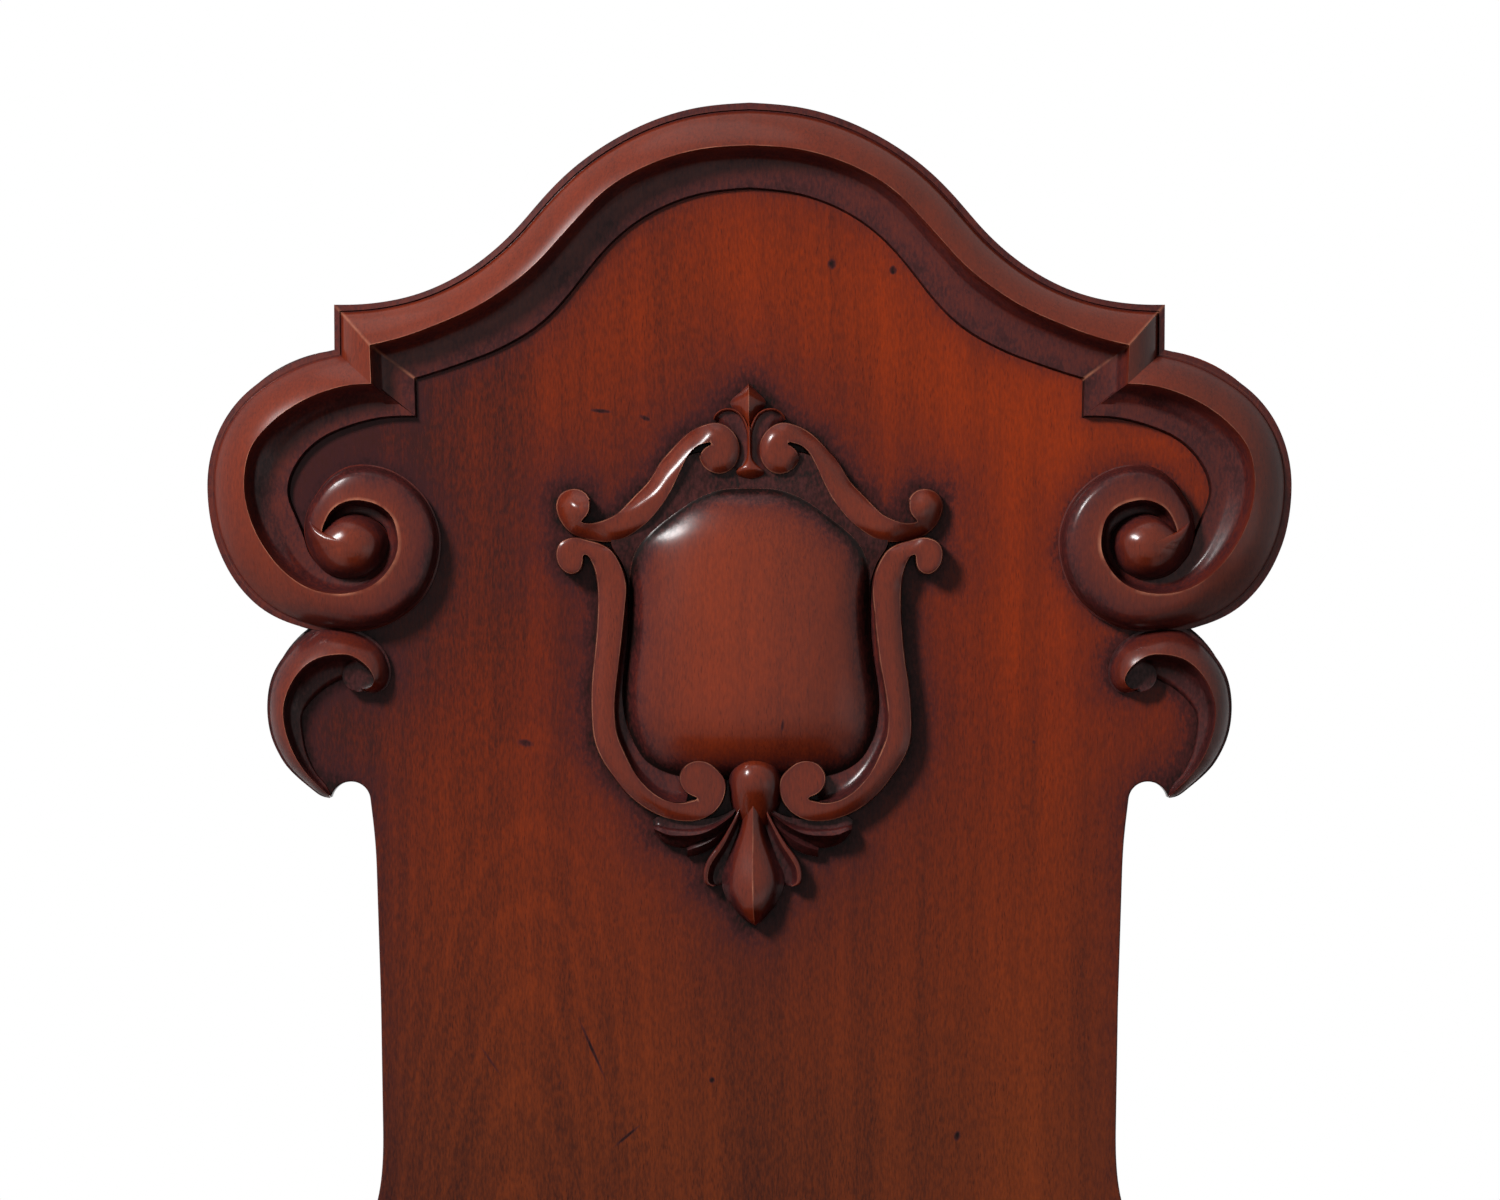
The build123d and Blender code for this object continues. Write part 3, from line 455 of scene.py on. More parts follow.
# %% Polish
def polished(name, dark, light, ribbon, pores, gloss=0.16, haze=0.0, turn=(0, 0, 0), offset=(0, 0, 0), back=None):
    """French polished mahogany. turn lays the grain another way, for a seat or a rail, and back says that
    a piece belongs to the chair's back, with its knocks, or is the board itself."""
    material, tree, shader = new_material(name)
    spot = node(tree, "TexCoord").outputs["Object"]
    coords = node(tree, "Mapping", {"Vector": spot, "Location": offset, "Rotation": turn}).outputs[0]
    timber = {"Vector": coords, "Dark": dark, "Light": light, "Ribbon": ribbon, "Pores": pores}
    wax_and_shade, wear = [node(tree, "Attribute", attribute_name=label).outputs["Fac"] for label in ("wax_and_shade", "wear")]
    if back == "board":
        own = node(tree, "Group", {"Vector": spot}, node_tree=growth)
        timber.update(Tone=own.outputs["Tone"], Light=own.outputs["Light"])
    if back:
        dents = node(tree, "Group", {"Vector": spot}, node_tree=knocks)
        wax_and_shade = maths(tree, "MAXIMUM", wax_and_shade, dents.outputs["Fac"])
    grain = node(tree, "Group", timber, node_tree=figure)
    aged = node(tree, "Group", {"Vector": coords, "Color": grain.outputs["Color"],
                                "Roughness": grain.outputs["Roughness"], "Wax and shade": wax_and_shade, "Wear": wear,
                                "Haze": haze, "Gloss": gloss}, node_tree=age)
    bump = node(tree, "Bump", {"Height": grain.outputs["Height"], "Strength": 0.12, "Distance": 0.0004})
    for label, source in (("Base Color", aged.outputs["Color"]), ("Roughness", aged.outputs["Roughness"]),
                          ("Coat Weight", aged.outputs["Coat Weight"]), ("Normal", bump.outputs[0])):
        tree.links.new(source, shader.inputs[label])
    shader.inputs["Specular IOR Level"].default_value = 0.05
    shader.inputs["Coat Roughness"].default_value = 0.2
    return material


board_wood = polished("board_mahogany", rgb(50, 17, 8), rgb(157, 56, 6), 0.24, 0.6, back="board")
shield_wood = polished("shield_mahogany", rgb(74, 24, 12), rgb(150, 54, 16), 0.3, 0.5, 0.42, 0.03,
                       offset=(0.7, 0.2, 0.1), back="carving")
carved_wood = polished("carving_mahogany", rgb(70, 23, 13), rgb(130, 46, 19), 0.17, 0.5, 0.42, 0.03,
                       offset=(0.4, 0.2, 0.1), back="carving")
seat_wood = polished("seat_mahogany", rgb(78, 26, 9), rgb(130, 48, 11), 0.34, 0.6, turn=(0, math.pi / 2, 0))
leg_wood = polished("leg_mahogany", rgb(76, 26, 10), rgb(108, 40, 12), 0.35, 0.5, offset=(0.1, 0.5, 0.3))
rail_wood = polished("rail_mahogany", rgb(78, 26, 10), rgb(112, 41, 12), 0.4, 0.5, turn=(0, math.pi / 2, 0),
                     offset=(0, 0.3, 0.2))
print("mahogany:", [m.name for m in (board_wood, shield_wood, carved_wood, seat_wood, leg_wood, rail_wood)])

# %% [markdown]
# The crest moulding was worked as one section: a thin fillet at the outside, a broad round up to a sharp
# arris, then a steep hollow down to a low lip beside the board. It runs over the crown, and at each end it
# is mitred and drops straight down for a short return before the volute begins. Its three guide lines are
# the outer edge, the arris and the inner edge, and each return is a straight run to the next mitre.

# %% Crest moulding
crest_outer = [(749.5, 103.1), (700, 107.7), (650, 122.3), (610, 142.5), (570, 171.5), (540, 202), (517, 228.5),
               (490, 254), (465, 272), (440, 285.5), (412, 296), (380, 302.6), (355, 304.8), (334.5, 305)]
crest_arris = [(749.5, 147), (700, 151), (660, 162), (620, 181.5), (600, 196.5), (580, 217), (560, 239), (540, 261),
               (520, 279), (500, 293.5), (480, 306), (440, 324.5), (400, 339), (371, 346)]
crest_inner = [(749.5, 190), (700, 196), (680, 202), (660, 210.5), (640, 222), (620, 237.5), (600, 258), (570, 296),
               (550, 318), (530, 334), (510, 345.5), (490, 355), (470, 362.5), (450, 369.5), (417, 380)]
return_foot = [(334.8, 350), (372.5, 384.5), (418, 418)]
CREST_STEPS, RETURN_STEPS = 150, 16
TOP_MM = 16.5

half = np.stack([even_line(line, CREST_STEPS) for line in (crest_outer, crest_arris, crest_inner)])
drop = np.stack([np.linspace(line[-1], foot, RETURN_STEPS)[1:]
                 for line, foot in zip((crest_outer, crest_arris, crest_inner), return_foot)])
left_run = np.concatenate([half, drop], axis=1)
crest_guides = np.concatenate([mirrored(left_run[:, :0:-1]), left_run], axis=1)
mitres = [RETURN_STEPS - 1, crest_guides.shape[1] - RETURN_STEPS]

# The fillet, the hollow and, most of all, the step beside the board are darkened: old wax, and painted shade in the
# hollow and on the step.
crest_section = section_of(
    ([(0, SUNK_MM, 0.6), (0, 4.4, 0.6)], 2),
    ([(0, 4.4, 0.5), (0.15, 4.9, 0.45)], 3),
    ([(0.15, 4.9, 0.6), (0.165, 4.1, 0.7), (0.19, 4.4, 0.5)], 3),
    ([(0.19, 4.4, 0.45), (0.22, 5.4, 0.12)] + round_over(0.25, 1.0, 6.3, TOP_MM, (56, 26)), 18),
    ([(1.0, TOP_MM, 0.05), (1.03, 12.6, 0.25), (1.09, 8.4, 0.45), (1.2, 5.2, 0.5), (1.38, 3.1, 0.45),
      (1.6, 2.4, 0.35), (1.8, 2.1, 0.3), (1.94, 2.2, 0.6)], 22),
    ([(1.94, 2.2, 0.7), (1.97, 0.6, 1), (2.0, SUNK_MM, 1)], 4),
)
crest = lay_strip("crest_moulding_carved", crest_guides, crest_section, corners=mitres)
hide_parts("crest_moulding")
print("crest moulding:", len(crest.data.vertices), "points")

# %% [markdown]
# Each volute takes up the same moulding, swings it round the shoulder and rolls it up to a round eye. Rows
# of three places, outer edge, arris and inner edge, say where the section lies at each step of the turn.
# The moulding narrows as it rolls, so a fourth number lowers it, from its row on. The eye is a boss turned
# in the middle.

# %% Volutes
volute_rows = [
    ((334.8, 350), (372.5, 384.5), (418, 418), 1), ((313, 355.5), (350, 386), (392, 418.5)),
    ((290, 364.5), (328, 391.5), (368, 422.5)), ((268, 377), (305, 401), (344, 430)),
    ((248, 392), (284, 414), (325, 439)), ((231, 411), (268, 428), (309, 452)), ((217, 437), (254, 446), (298, 467)),
    ((209.5, 465), (247.5, 466), (292, 481)), ((208, 490), (246, 486), (291, 496)),
    ((211, 520), (249, 508), (297, 513), 0.99), ((219, 549), (256, 529), (304, 529), 0.97),
    ((233, 577), (267, 549), (308, 541), 0.95), ((253, 601), (281, 567), (312, 553), 0.93),
    ((276, 617), (296, 580), (320, 564), 0.91), ((307, 628), (314, 589.5), (330, 572), 0.9),
    ((344, 632), (340, 594), (346, 577)), ((375, 629), (362, 590.5), (361, 575)),
    ((402, 617), (379, 581.5), (374, 567)), ((423, 598), (391, 568), (383, 558)),
    ((436, 573), (398, 553), (387, 548)), ((441, 545), (399, 538), (388, 538), 0.88),
    ((437, 520), (395, 521), (384, 527), 0.86), ((425, 497), (387, 510.5), (376, 521), 0.84),
    ((405, 478), (375, 503.5), (367, 517), 0.82), ((385, 468), (362, 500.5), (358, 516), 0.8),
    ((362, 464.5), (350, 501), (350, 517), 0.78), ((342, 469), (338, 506), (342, 520), 0.75),
    ((326, 481), (330, 514), (338, 525), 0.72), ((314, 498), (325.5, 523), (332, 527), 0.7),
    ((308, 509), (323.5, 528.5), (326, 530), 0.68), ((305.5, 518), (323, 532), (323.8, 532.5), 0.67)
]
level_top = [(1.0 + 0.155 * i, TOP_MM, 0) for i in range(7)]
# The roundings of the turn, the roll and the eye are darkened from the outer edge inward: painted shade on their
# steep outer sides turned from the lamp, and old wax in the hollows.
turn_section, roll_section, ball_section, lip_section = [section_of(
    ([(0, SUNK_MM, 0.6), (0, fillet - 0.4, 0.6)], 2),
    ([(0, fillet - 0.4, 0.5), (fillet_width, fillet, 0.4)], 3),
    (rounding, 18),
    (hollow, 22),
    ([hollow[-1], (1.97, 0.6, 1), (2.0, SUNK_MM, 1)], 4),
) for fillet, fillet_width, rounding, hollow in (
    (4.8, 0.13, [(0.13, 4.8, 0.5), (0.15, 4.5, 0.5), (0.19, 5.3, 0.3),
                 *round_over(0.22, 1.0, 6.0, TOP_MM, (56, 26), wax_and_shade=0.32, clean=0.8)],
     [(1.0, TOP_MM, 0.05), (1.04, 13.4, 0.35), (1.12, 9.8, 0.5), (1.28, 6.5, 0.55), (1.5, 4.3, 0.5),
      (1.75, 3.4, 0.45), (1.93, 3.6, 0.5)]),
    (4.4, 0.03, [(0.03, 4.4, 0.6), (0.05, 6.6, 0.6),
                 *round_over(0.07, 0.36, 9.2, 15.2, (72, 14), 5, wax_and_shade=0.72)[:-1],
                 *round_over(0.36, 1.0, 15.2, TOP_MM, (12, 3), 5, wax_and_shade=0.72)],
     [(1.0, TOP_MM, 0), (1.03, 13, 0.4), (1.12, 9, 0.6), (1.28, 6.6, 0.6), (1.5, 5.4, 0.5), (1.75, 5.0, 0.5),
      (1.93, 4.6, 0.6)]),
    (4.4, 0.02, [(0.02, 4.4, 0.7), (0.05, 6.0, 0.6),
                 *round_over(0.09, 1.0, 7.6, TOP_MM, (62, 0), wax_and_shade=0.7, clean=0.6)], level_top),
    (9.6, 0.02, [(0.02, 9.6, 0.6), (0.05, 10.9, 0.5),
                 *round_over(0.09, 1.0, 12.2, TOP_MM, (42, 0), wax_and_shade=0.55, clean=0.5)], level_top),
)]
ball_section[:, 3] = lip_section[:, 3] = 0
eye_rim = [(305.5, 518), (304.5, 530), (309, 550), (319, 566), (333, 576.5), (350, 580), (367, 577.5), (380, 568.5),
           (387.5, 555), (389.6, 541), (384.5, 528.5), (373, 519), (358, 514.5), (343, 517), (331.5, 524.5),
           (323.5, 532)]
EYE_CENTRE, EYE_STEPS = (350, 545), 150
ROLL_FROM, ROLL_OVER = 0.47, 0.2
MIDDLE_OVER, BALL_OVER, BALL_SHARE, LIP_FROM, LIP_OVER = 0.16, 0.12, 0.95, 0.72, 0.28


def join(name, pieces):
    """Makes one object of several."""
    select_only(*pieces)
    bpy.ops.object.join()
    pieces[0].name = pieces[0].data.name = name
    pieces[0].select_set(False)
    return pieces[0]


def both_sides(name, build, axis=lambda y: AXIS_PX):
    """Builds the left piece and its mirror image, and lets them stand for the two solids."""
    made = []
    for side, turn in (("left", as_drawn), ("right", lambda places: mirrored(places, axis))):
        piece = join(f"{side}_{name}_carved", build(turn))
        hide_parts(f"{side}_{name}")
        made.append(piece)
    print(name, "points:", len(made[0].data.vertices))
    return made


def smooth(t):
    """Goes from 0 to 1 without a corner at either end."""
    t = np.clip(t, 0, 1)
    return t * t * (3 - 2 * t)


volute_guides, volute_share = guides_of(volute_rows, 330)
rolled = smooth((np.linspace(0, 1, volute_guides.shape[1]) - ROLL_FROM) / ROLL_OVER)[:, None]
volute_weights = np.hstack([1 - rolled, rolled, 0 * rolled, 0 * rolled])
volute_sections = np.stack([turn_section, roll_section, ball_section, lip_section])


def eye_strip(turn):
    """The roll's end: its section swings round the eye's centre like a fan."""
    rim = even_line(eye_rim, EYE_STEPS)
    round_eye = np.linspace(0, 1, EYE_STEPS)[:, None]
    go = np.clip(round_eye / MIDDLE_OVER, 0, 1)
    tip = volute_guides[1, -1]
    middle = tip + (np.array(EYE_CENTRE) - tip) * go
    inner = middle + np.array([0.02, 0.02]) * go + (volute_guides[2, -1] - tip) * (1 - go)
    swell = volute_share[-1] + (BALL_SHARE - volute_share[-1]) * (1 - (1 - go[:, 0]) ** 2)
    ball = np.clip(round_eye / BALL_OVER, 0, 1)
    lip = smooth((round_eye - LIP_FROM) / LIP_OVER)
    weights = np.hstack([0 * ball, 1 - ball, ball * (1 - lip), ball * lip])
    return lay_strip("eye", turn(np.stack([rim, middle, inner])), volute_sections, swell, weights)


def volute(turn):
    return [lay_strip("roll", turn(volute_guides), volute_sections, volute_share, volute_weights), eye_strip(turn)]


volutes = both_sides("volute", volute)

# %% [markdown]
# Below each volute a leaf scroll curls the other way and dies to a point at its foot. Its round is darkened
# towards its outer edge as painted shade. Its curled end closes on a small round face that is all but level
# and darkened nearly to black, old wax and painted shade in the curl, so that it stays dull.

# %% Leaf scrolls
leaf_rows = [
    ((330, 798), (330.5, 796.5), (331, 795), 0.25), ((322, 796), (324, 790), (326.5, 785), 0.5),
    ((312, 789), (314, 780), (319, 776), 0.75), ((300, 779), (304, 768), (311, 762), 0.9),
    ((288, 767), (295.5, 754), (306, 748), 1), ((280, 755), (290, 741), (303.5, 733)),
    ((272, 737), (286, 727), (302.5, 719)), ((268, 716), (284.5, 711), (305, 710)),
    ((268, 698), (286.5, 698), (311, 702)), ((271, 681), (292, 684), (318, 695)),
    ((278, 665), (300, 672), (327, 688)), ((289, 650), (311, 662), (336, 683)),
    ((302, 637), (325, 656), (343, 679.5)), ((320, 627), (340, 654), (346, 678)),
    ((340, 626), (351, 655), (351, 677), 0.96), ((361, 632), (361, 660), (357, 677), 0.92),
    ((378, 643), (369, 667), (362, 679), 0.88), ((388, 658), (374, 675), (366, 682), 0.82),
    ((391, 672), (375, 681), (366, 684), 0.75), ((387, 686), (371, 687), (364, 685), 0.68),
    ((376, 693), (366, 689), (361, 685), 0.6), ((363, 691), (361, 688), (358, 684), 0.5)
]
# Painted shade: the round darkens towards its steep outer edge, with old wax in the hollow.
leaf_section = section_of(
    ([(0, SUNK_MM, 0.7), (0, 3.5, 0.7)], 2),
    ([(0, 3.5, 0.7), (0.1, 3.6, 0.7)], 3),
    ([(0.1, 3.6, 0.5), (0.16, 4.8, 0.6), *round_over(0.2, 1.0, 5.6, 13.0, (58, 24), wax_and_shade=0.58, clean=1.16)], 14),
    ([(1.0, 13.0, 0), (1.05, 9.6, 0.6), (1.2, 5.6, 0.75), (1.5, 2.8, 0.6), (1.85, 1.7, 0.5)], 14),
    ([(1.85, 1.7, 0.5), (1.97, 0.6, 0.9), (2.0, SUNK_MM, 1)], 3),
)
leaf_guides, leaf_share = guides_of(leaf_rows, 180)


def round_rows(centre, ridge, widths):
    """Rows for a round boss from (down, half its width, share of the height)."""
    return [((centre - half, y), (ridge, y), (centre + half, y), share) for y, half, share in widths]


dish_guides, dish_share = guides_of(round_rows(359, 359, [
    (660, 3, 1.2), (662, 8, 1.14), (666, 13, 1.05), (672, 16, 1), (679, 16, 1), (685, 13, 1.05), (689.5, 8, 1.14),
    (691.5, 3, 1.2)]), 40)
# The face is darkened nearly to black: old wax, and painted shade in the curl.
dish_section = section_of(
    ([(0.02, SUNK_MM, 1), (0.02, 5, 1)], 2),
    ([(1 + s, 4.6 + 0.4 * s * s, 0.74 + 0.16 * s * s) for s in np.linspace(-0.98, 0.98, 13)], 20),
    ([(1.98, 5, 1), (1.98, SUNK_MM, 1)], 2),
)


def leaf_scroll(turn):
    return [lay_strip("leaf", turn(leaf_guides), leaf_section, leaf_share),
            lay_strip("dish", turn(dish_guides), dish_section, dish_share)]


leaf_scrolls = both_sides("leaf_scroll", leaf_scroll)

# %% [markdown]
# The shield sits in strapwork: flat bands like cut leather that roll up at their ends. These are pillows
# rather than strips. Each one is an outline with a steep wall behind it, and a top that falls away towards
# some edges and stays high at others, as a carver rounds a band over one side. Each place of an outline
# says how far in that rounding reaches and how deep it falls. The mesh is a net of triangles in the outline.


# %% Pillows
def inside(outline, points):
    """Whether points lie in a closed outline."""
    crossings = np.zeros(len(points), int)
    for (ax, ay), (bx, by) in zip(outline, np.roll(outline, -1, axis=0)):
        if ay != by:
            between = (points[:, 1] > min(ay, by)) & (points[:, 1] <= max(ay, by))
            crossings += between & (points[:, 0] < ax + (points[:, 1] - ay) / (by - ay) * (bx - ax))
    return crossings % 2 == 1


BLOCK = 400


def reach_of(points, marks):
    """Distances from every point to every mark, a block of points at a time."""
    for i in range(0, len(points), BLOCK):
        yield slice(i, i + BLOCK), np.linalg.norm(points[i:i + BLOCK, None] - marks[None], axis=2)


OUTLINE_STEP, OUTSIDE, NEAR_SHARE = 1.1, 1.3, 0.965
WALL_SHARE, WALL_RISE, RING_PX, GRID_PX = 0.45, 0.62, (0, 0.8, 2.4), 3.4
BLEND_MM, BLEND_PX, FINE_PX = 0.35, 10, 0.28
WALL_WAX_AND_SHADE_PX, ARRIS_PX, STAIN_AND_SHADE_PX, WIDE_STAIN_AND_SHADE_PX = 6.0, 0.6, 12, 30


def swell_of(verts, faces, edge):
    """How far a stretched skin, held at the outline and blown up, stands over each point. From 0 to 1."""
    pull = np.zeros((len(verts), len(verts)))
    lift = np.zeros(len(verts))
    for i, j, k in (faces.T, faces.T[[1, 2, 0]], faces.T[[2, 0, 1]]):
        u, w = verts[i] - verts[k], verts[j] - verts[k]
        twice = np.abs(u[:, 0] * w[:, 1] - u[:, 1] * w[:, 0])
        share = np.einsum("ij,ij->i", u, w) / twice / 2
        np.add.at(pull, (i, j), -share)
        np.add.at(pull, (j, i), -share)
        np.add.at(lift, k, twice / 6)
    pull[np.diag_indices(len(verts))] = -pull.sum(axis=1)
    pull[edge], lift[edge] = 0, 0
    pull[edge, edge] = 1
    swell = np.linalg.solve(pull, lift)
    return swell / swell.max()


def outline_of(runs):
    """Even steps along the smooth runs of an outline."""
    lengths = [np.linalg.norm(np.diff(np.array(run)[:, :2], axis=0), axis=1).sum() for run in runs]
    return np.vstack([sweet_curve(run, max(4, int(length / OUTLINE_STEP)))[:-1]
                      for run, length in zip(runs, lengths)])


def carve_pillow(name, runs, crown=0.0, wall=1.6, grain=2.8, stain_and_shade=0.0, ground=0.0, wear=1.0, shape=None):
    """A carved pillow. runs are the outline's smooth runs, with rows of (across, down, rounding, fall).
    The wall goes up over its own width to the top, in two steps. Sizes are in pixels, and crown in
    millimetres. With a shape, the top is what that function says instead."""
    line = outline_of(runs)
    outline = line[:, :2]
    ahead = np.roll(outline, -1, axis=0) - np.roll(outline, 1, axis=0)
    inward = np.stack([-ahead[:, 1], ahead[:, 0]], axis=1) / np.linalg.norm(ahead, axis=1)[:, None]
    x, y = outline.T
    if np.sum(x * np.roll(y, -1) - np.roll(x, -1) * y) < 0:
        inward = -inward
    outline -= inward * (OUTSIDE * np.clip((line[:, 2] - 6) / 6, 0, 1))[:, None]
    fine = np.vstack([line * (1 - t) + np.roll(line, -1, axis=0) * t for t in (0, 0.25, 0.5, 0.75)])
    fine, rounding = fine[:, :2], fine[:, 2:]
    points = [outline]
    low, high = outline.min(axis=0), outline.max(axis=0)
    gx, gy = np.meshgrid(np.arange(low[0], high[0], grain), np.arange(low[1], high[1], grain * 0.87))
    gx[1::2] += grain / 2
    grid = np.stack([gx.ravel(), gy.ravel()], axis=1)
    rings = [(reach, outline + inward * reach) for reach in (wall * WALL_SHARE, *[wall + px for px in RING_PX])]
    for reach, ring in (*rings, (wall + GRID_PX, grid[inside(outline, grid)])):
        near = np.concatenate([d.min(axis=1) for _, d in reach_of(ring, fine)])
        points.append(ring[near > reach * NEAR_SHARE])
    flat = np.vstack(points)
    verts, _, faces, origin, _, _ = delaunay_2d_cdt([Vector(v) for v in flat], [], [list(range(len(outline)))],
                                                    1, 1e-6)
    verts, faces = np.array(verts), np.array(faces)
    top, reach = np.zeros(len(verts)), np.zeros(len(verts))
    for block, away in reach_of(verts, fine):
        drop = rounding[:, 1] * np.clip(1 - away / rounding[:, 0], 0, None) ** 2
        top[block] = crown - BLEND_MM * np.log(np.exp(drop / BLEND_MM).sum(axis=1) * FINE_PX / BLEND_PX)
        reach[block] = away.min(axis=1)
    if shape:
        top = shape(verts, swell_of(verts, faces, np.flatnonzero(reach < 1e-3)))
    rise = np.interp(reach, [0, wall * WALL_SHARE, wall], [0, WALL_RISE, 1])
    height = SUNK_MM + (top - SUNK_MM) * rise
    # The wall and the edge of the top are darkened: old wax at the foot, and painted shade on the steep wall.
    wax_and_shade = np.interp(reach, [0, wall * WALL_SHARE, wall, wall + WALL_WAX_AND_SHADE_PX], [1, 0.7, 0.3, 0])
    # The stain darkens the shield's edge beside the straps: old wax, and painted shade.
    wax_and_shade += stain_and_shade * (np.exp(-reach / STAIN_AND_SHADE_PX) + 0.5 * np.exp(-reach / WIDE_STAIN_AND_SHADE_PX)) * (reach >= wall)
    wax_and_shade = np.maximum(wax_and_shade, ground)
    worn = wear * np.clip(1 - np.abs(reach - wall) / ARRIS_PX, 0, 1)
    foot = {k: i for i, sources in enumerate(origin) for k in sources if k < len(outline)}
    faces = [tuple(f) for f in faces] + [tuple(foot[k] for k in range(len(outline)))]
    return add_piece(name, on_board(verts, height), faces, wax_and_shade, worn, smooth_angle=36)


def full_rows(run):
    """A row that names only its place keeps the rounding and fall of the row above."""
    rows = []
    for row in run:
        rows.append((*row[:2], *(row[2:] or rows[-1][2:])))
    return rows


def turned(runs, turn):
    """The same runs on the side that turn asks for."""
    return [[(*turn(row[:2]), *row[2:]) for row in full_rows(run)] for run in runs]


LEAN_PX, STRAIGHT_TO, LEAN_OVER = 3.2, 650, 110


def lean_axis(y):
    """The cartouche's own middle line, which drifts to the right below the shield's waist."""
    return AXIS_PX + LEAN_PX * smooth((float(y) - STRAIGHT_TO) / LEAN_OVER)


# %% [markdown]
# Each side has an upper band that rises to the middle, and a lower one that runs down beside the shield and
# under it. Beside the shield the lower band is hollowed out, and that hollow is a strip of its own.

# %% Strapwork
upper_runs = [
    [(583, 521.5, 4, 1), (589, 514.5), (591, 506, 5, 1), (588.5, 497, 18, 4), (581, 490.5, 34, 7.4),
     (572, 489.5, 34, 8.2), (563, 493, 34, 9.1), (557.5, 501), (557, 510), (560, 519), (565, 527), (572, 533.5),
     (580, 537.5), (592, 540.5, 34, 8.2), (608, 542, 26, 6.1), (623, 539, 22, 5.4), (640, 528.5, 16, 3.4),
     (656, 514.5, 8, 1.5), (665, 503.5, 5, 1), (672.5, 491, 4, 0.8), (677, 482), (681.5, 472), (686, 462.5),
     (691, 454), (696.5, 448.5), (702.5, 445.5), (710, 444)],
    [(710, 444, 4, 0.8), (704, 448, 5, 1), (700.5, 453, 8, 2), (700, 459, 18, 4.5), (703, 465.5, 22, 5.5),
     (710, 471.5, 20, 4.5), (720, 474, 21, 5), (730, 470.5), (737, 461.5), (739.5, 450), (736.5, 437.5, 22, 5),
     (728.5, 428, 24, 5), (717, 423.3, 26, 5.5), (706, 425, 28, 5.5), (694, 430, 32, 7.5), (680, 441), (670, 452),
     (662, 461), (655.5, 471.5, 30, 6.8), (648, 483, 28, 6.8), (638, 493.5, 24, 6.1), (628, 504, 18, 4.8),
     (620, 511.5, 10, 2.5), (610, 517, 6, 1.5), (600, 520.8, 4, 1), (590, 522.5), (583, 521.5)],
]
lower_runs = [
    [(585, 556, 5, 1), (589, 558, 8, 1.5), (593, 564, 20, 3.4), (596, 573), (598, 586, 27, 4.6), (598.5, 600),
     (598, 620), (596.5, 640), (594.5, 660), (592.5, 680), (591.8, 700), (592.5, 720), (594.5, 738), (599, 752),
     (606, 765, 28, 5), (613, 775), (622, 787), (635, 800), (652, 811.5), (669.6, 818.5, 28, 4.4), (687, 821, 26, 4),
     (702, 818.7, 20, 3), (715, 811, 12, 2), (723.5, 800.5, 8, 1.2), (727, 788, 5, 0.7), (725.3, 777.4, 4, 0.5),
     (718.5, 768.7), (708.7, 761.3), (698, 759.3), (687.5, 762.5), (681, 769.5), (678.7, 778), (681, 787, 5, 0.6),
     (687, 794, 5, 0.7), (696, 798)],
    [(696, 798, 5, 0.7), (683, 801, 6, 0.8), (670, 800, 8, 0.9), (656.5, 794, 10, 1), (643.5, 783, 12, 1.8),
     (632.6, 768, 14, 2.2), (624, 750.5), (617.8, 735), (615.5, 720), (615, 705), (616.5, 685), (619, 665),
     (621.3, 645), (623.5, 625), (625.5, 605), (626.5, 590, 13, 2.2), (624.5, 575, 12, 1.6), (619, 561.5, 12, 2),
     (612.5, 551.5, 13, 2.6), (605, 546, 20, 4.6), (596, 542.5, 22, 4.6), (588, 540.5), (578, 538, 18, 3.4),
     (568, 539, 16, 3.2), (560, 544, 15, 3.2), (557, 552), (558, 562), (563, 570), (571, 574), (579, 571.5, 12, 2.6),
     (583.5, 565, 8, 1.6), (585, 556, 5, 1)],
]
shield_edge = [(749.5, 487), (735, 487), (720, 488.5), (706, 493), (692, 500), (678, 509.5), (664, 520), (651, 530.5),
               (640, 542), (632, 557), (628.5, 577), (628, 600), (627, 640), (624.5, 660), (622.5, 680), (622, 700),
               (625, 720), (630, 738), (636, 750), (643, 760), (653, 768), (666, 774), (680, 777.5), (700, 779),
               (725, 780), (752.7, 780)]
hollow_rows = [((625, 590), (626, 590), (628, 590)), ((623, 620), (624.5, 620), (628, 620)),
               ((620.5, 645), (622.5, 645), (627, 645)), ((617, 675), (619, 675), (623.5, 675)),
               ((614, 700), (617, 700), (622.5, 700)), ((614.5, 722), (618, 721), (625.5, 719.5)),
               ((618, 739), (622.5, 737.5), (631, 735)), ((625, 756), (630, 752), (640.5, 745)),
               ((634, 771.5), (639, 766), (650, 755)), ((645, 785.5), (650, 778), (662, 762)),
               ((657.5, 795.5), (662, 787), (672, 768)), ((672, 801.5), (675.5, 791), (684, 771)),
               ((686, 802), (688, 793), (694, 775))]
hollow_section = section_of(
    ([(0, SUNK_MM, 0.9), (0.0, 9.6, 0.8)], 2),
    ([(0, 9.6, 0.7), (0.35, 6.6, 0.62), (1.0, 4.2, 0.55), (1.5, 3.3, 0.5), (2.0, 2.9, 0.7)], 14),
    ([(2.0, 2.9, 0.8), (2.0, SUNK_MM, 1)], 2),
)


def upper_scroll(turn):
    return [carve_pillow("upper scroll", turned(upper_runs, turn), 12.6)]


def lower_scroll(turn):
    lines, share = guides_of(hollow_rows, 90)
    return [carve_pillow("lower scroll", turned(lower_runs, turn), 12.2, wall=1.8),
            lay_strip("hollow", turn(lines), hollow_section, share)]


upper_scrolls = both_sides("upper_scroll", upper_scroll, lean_axis)
lower_scrolls = both_sides("lower_scroll", lower_scroll, lean_axis)

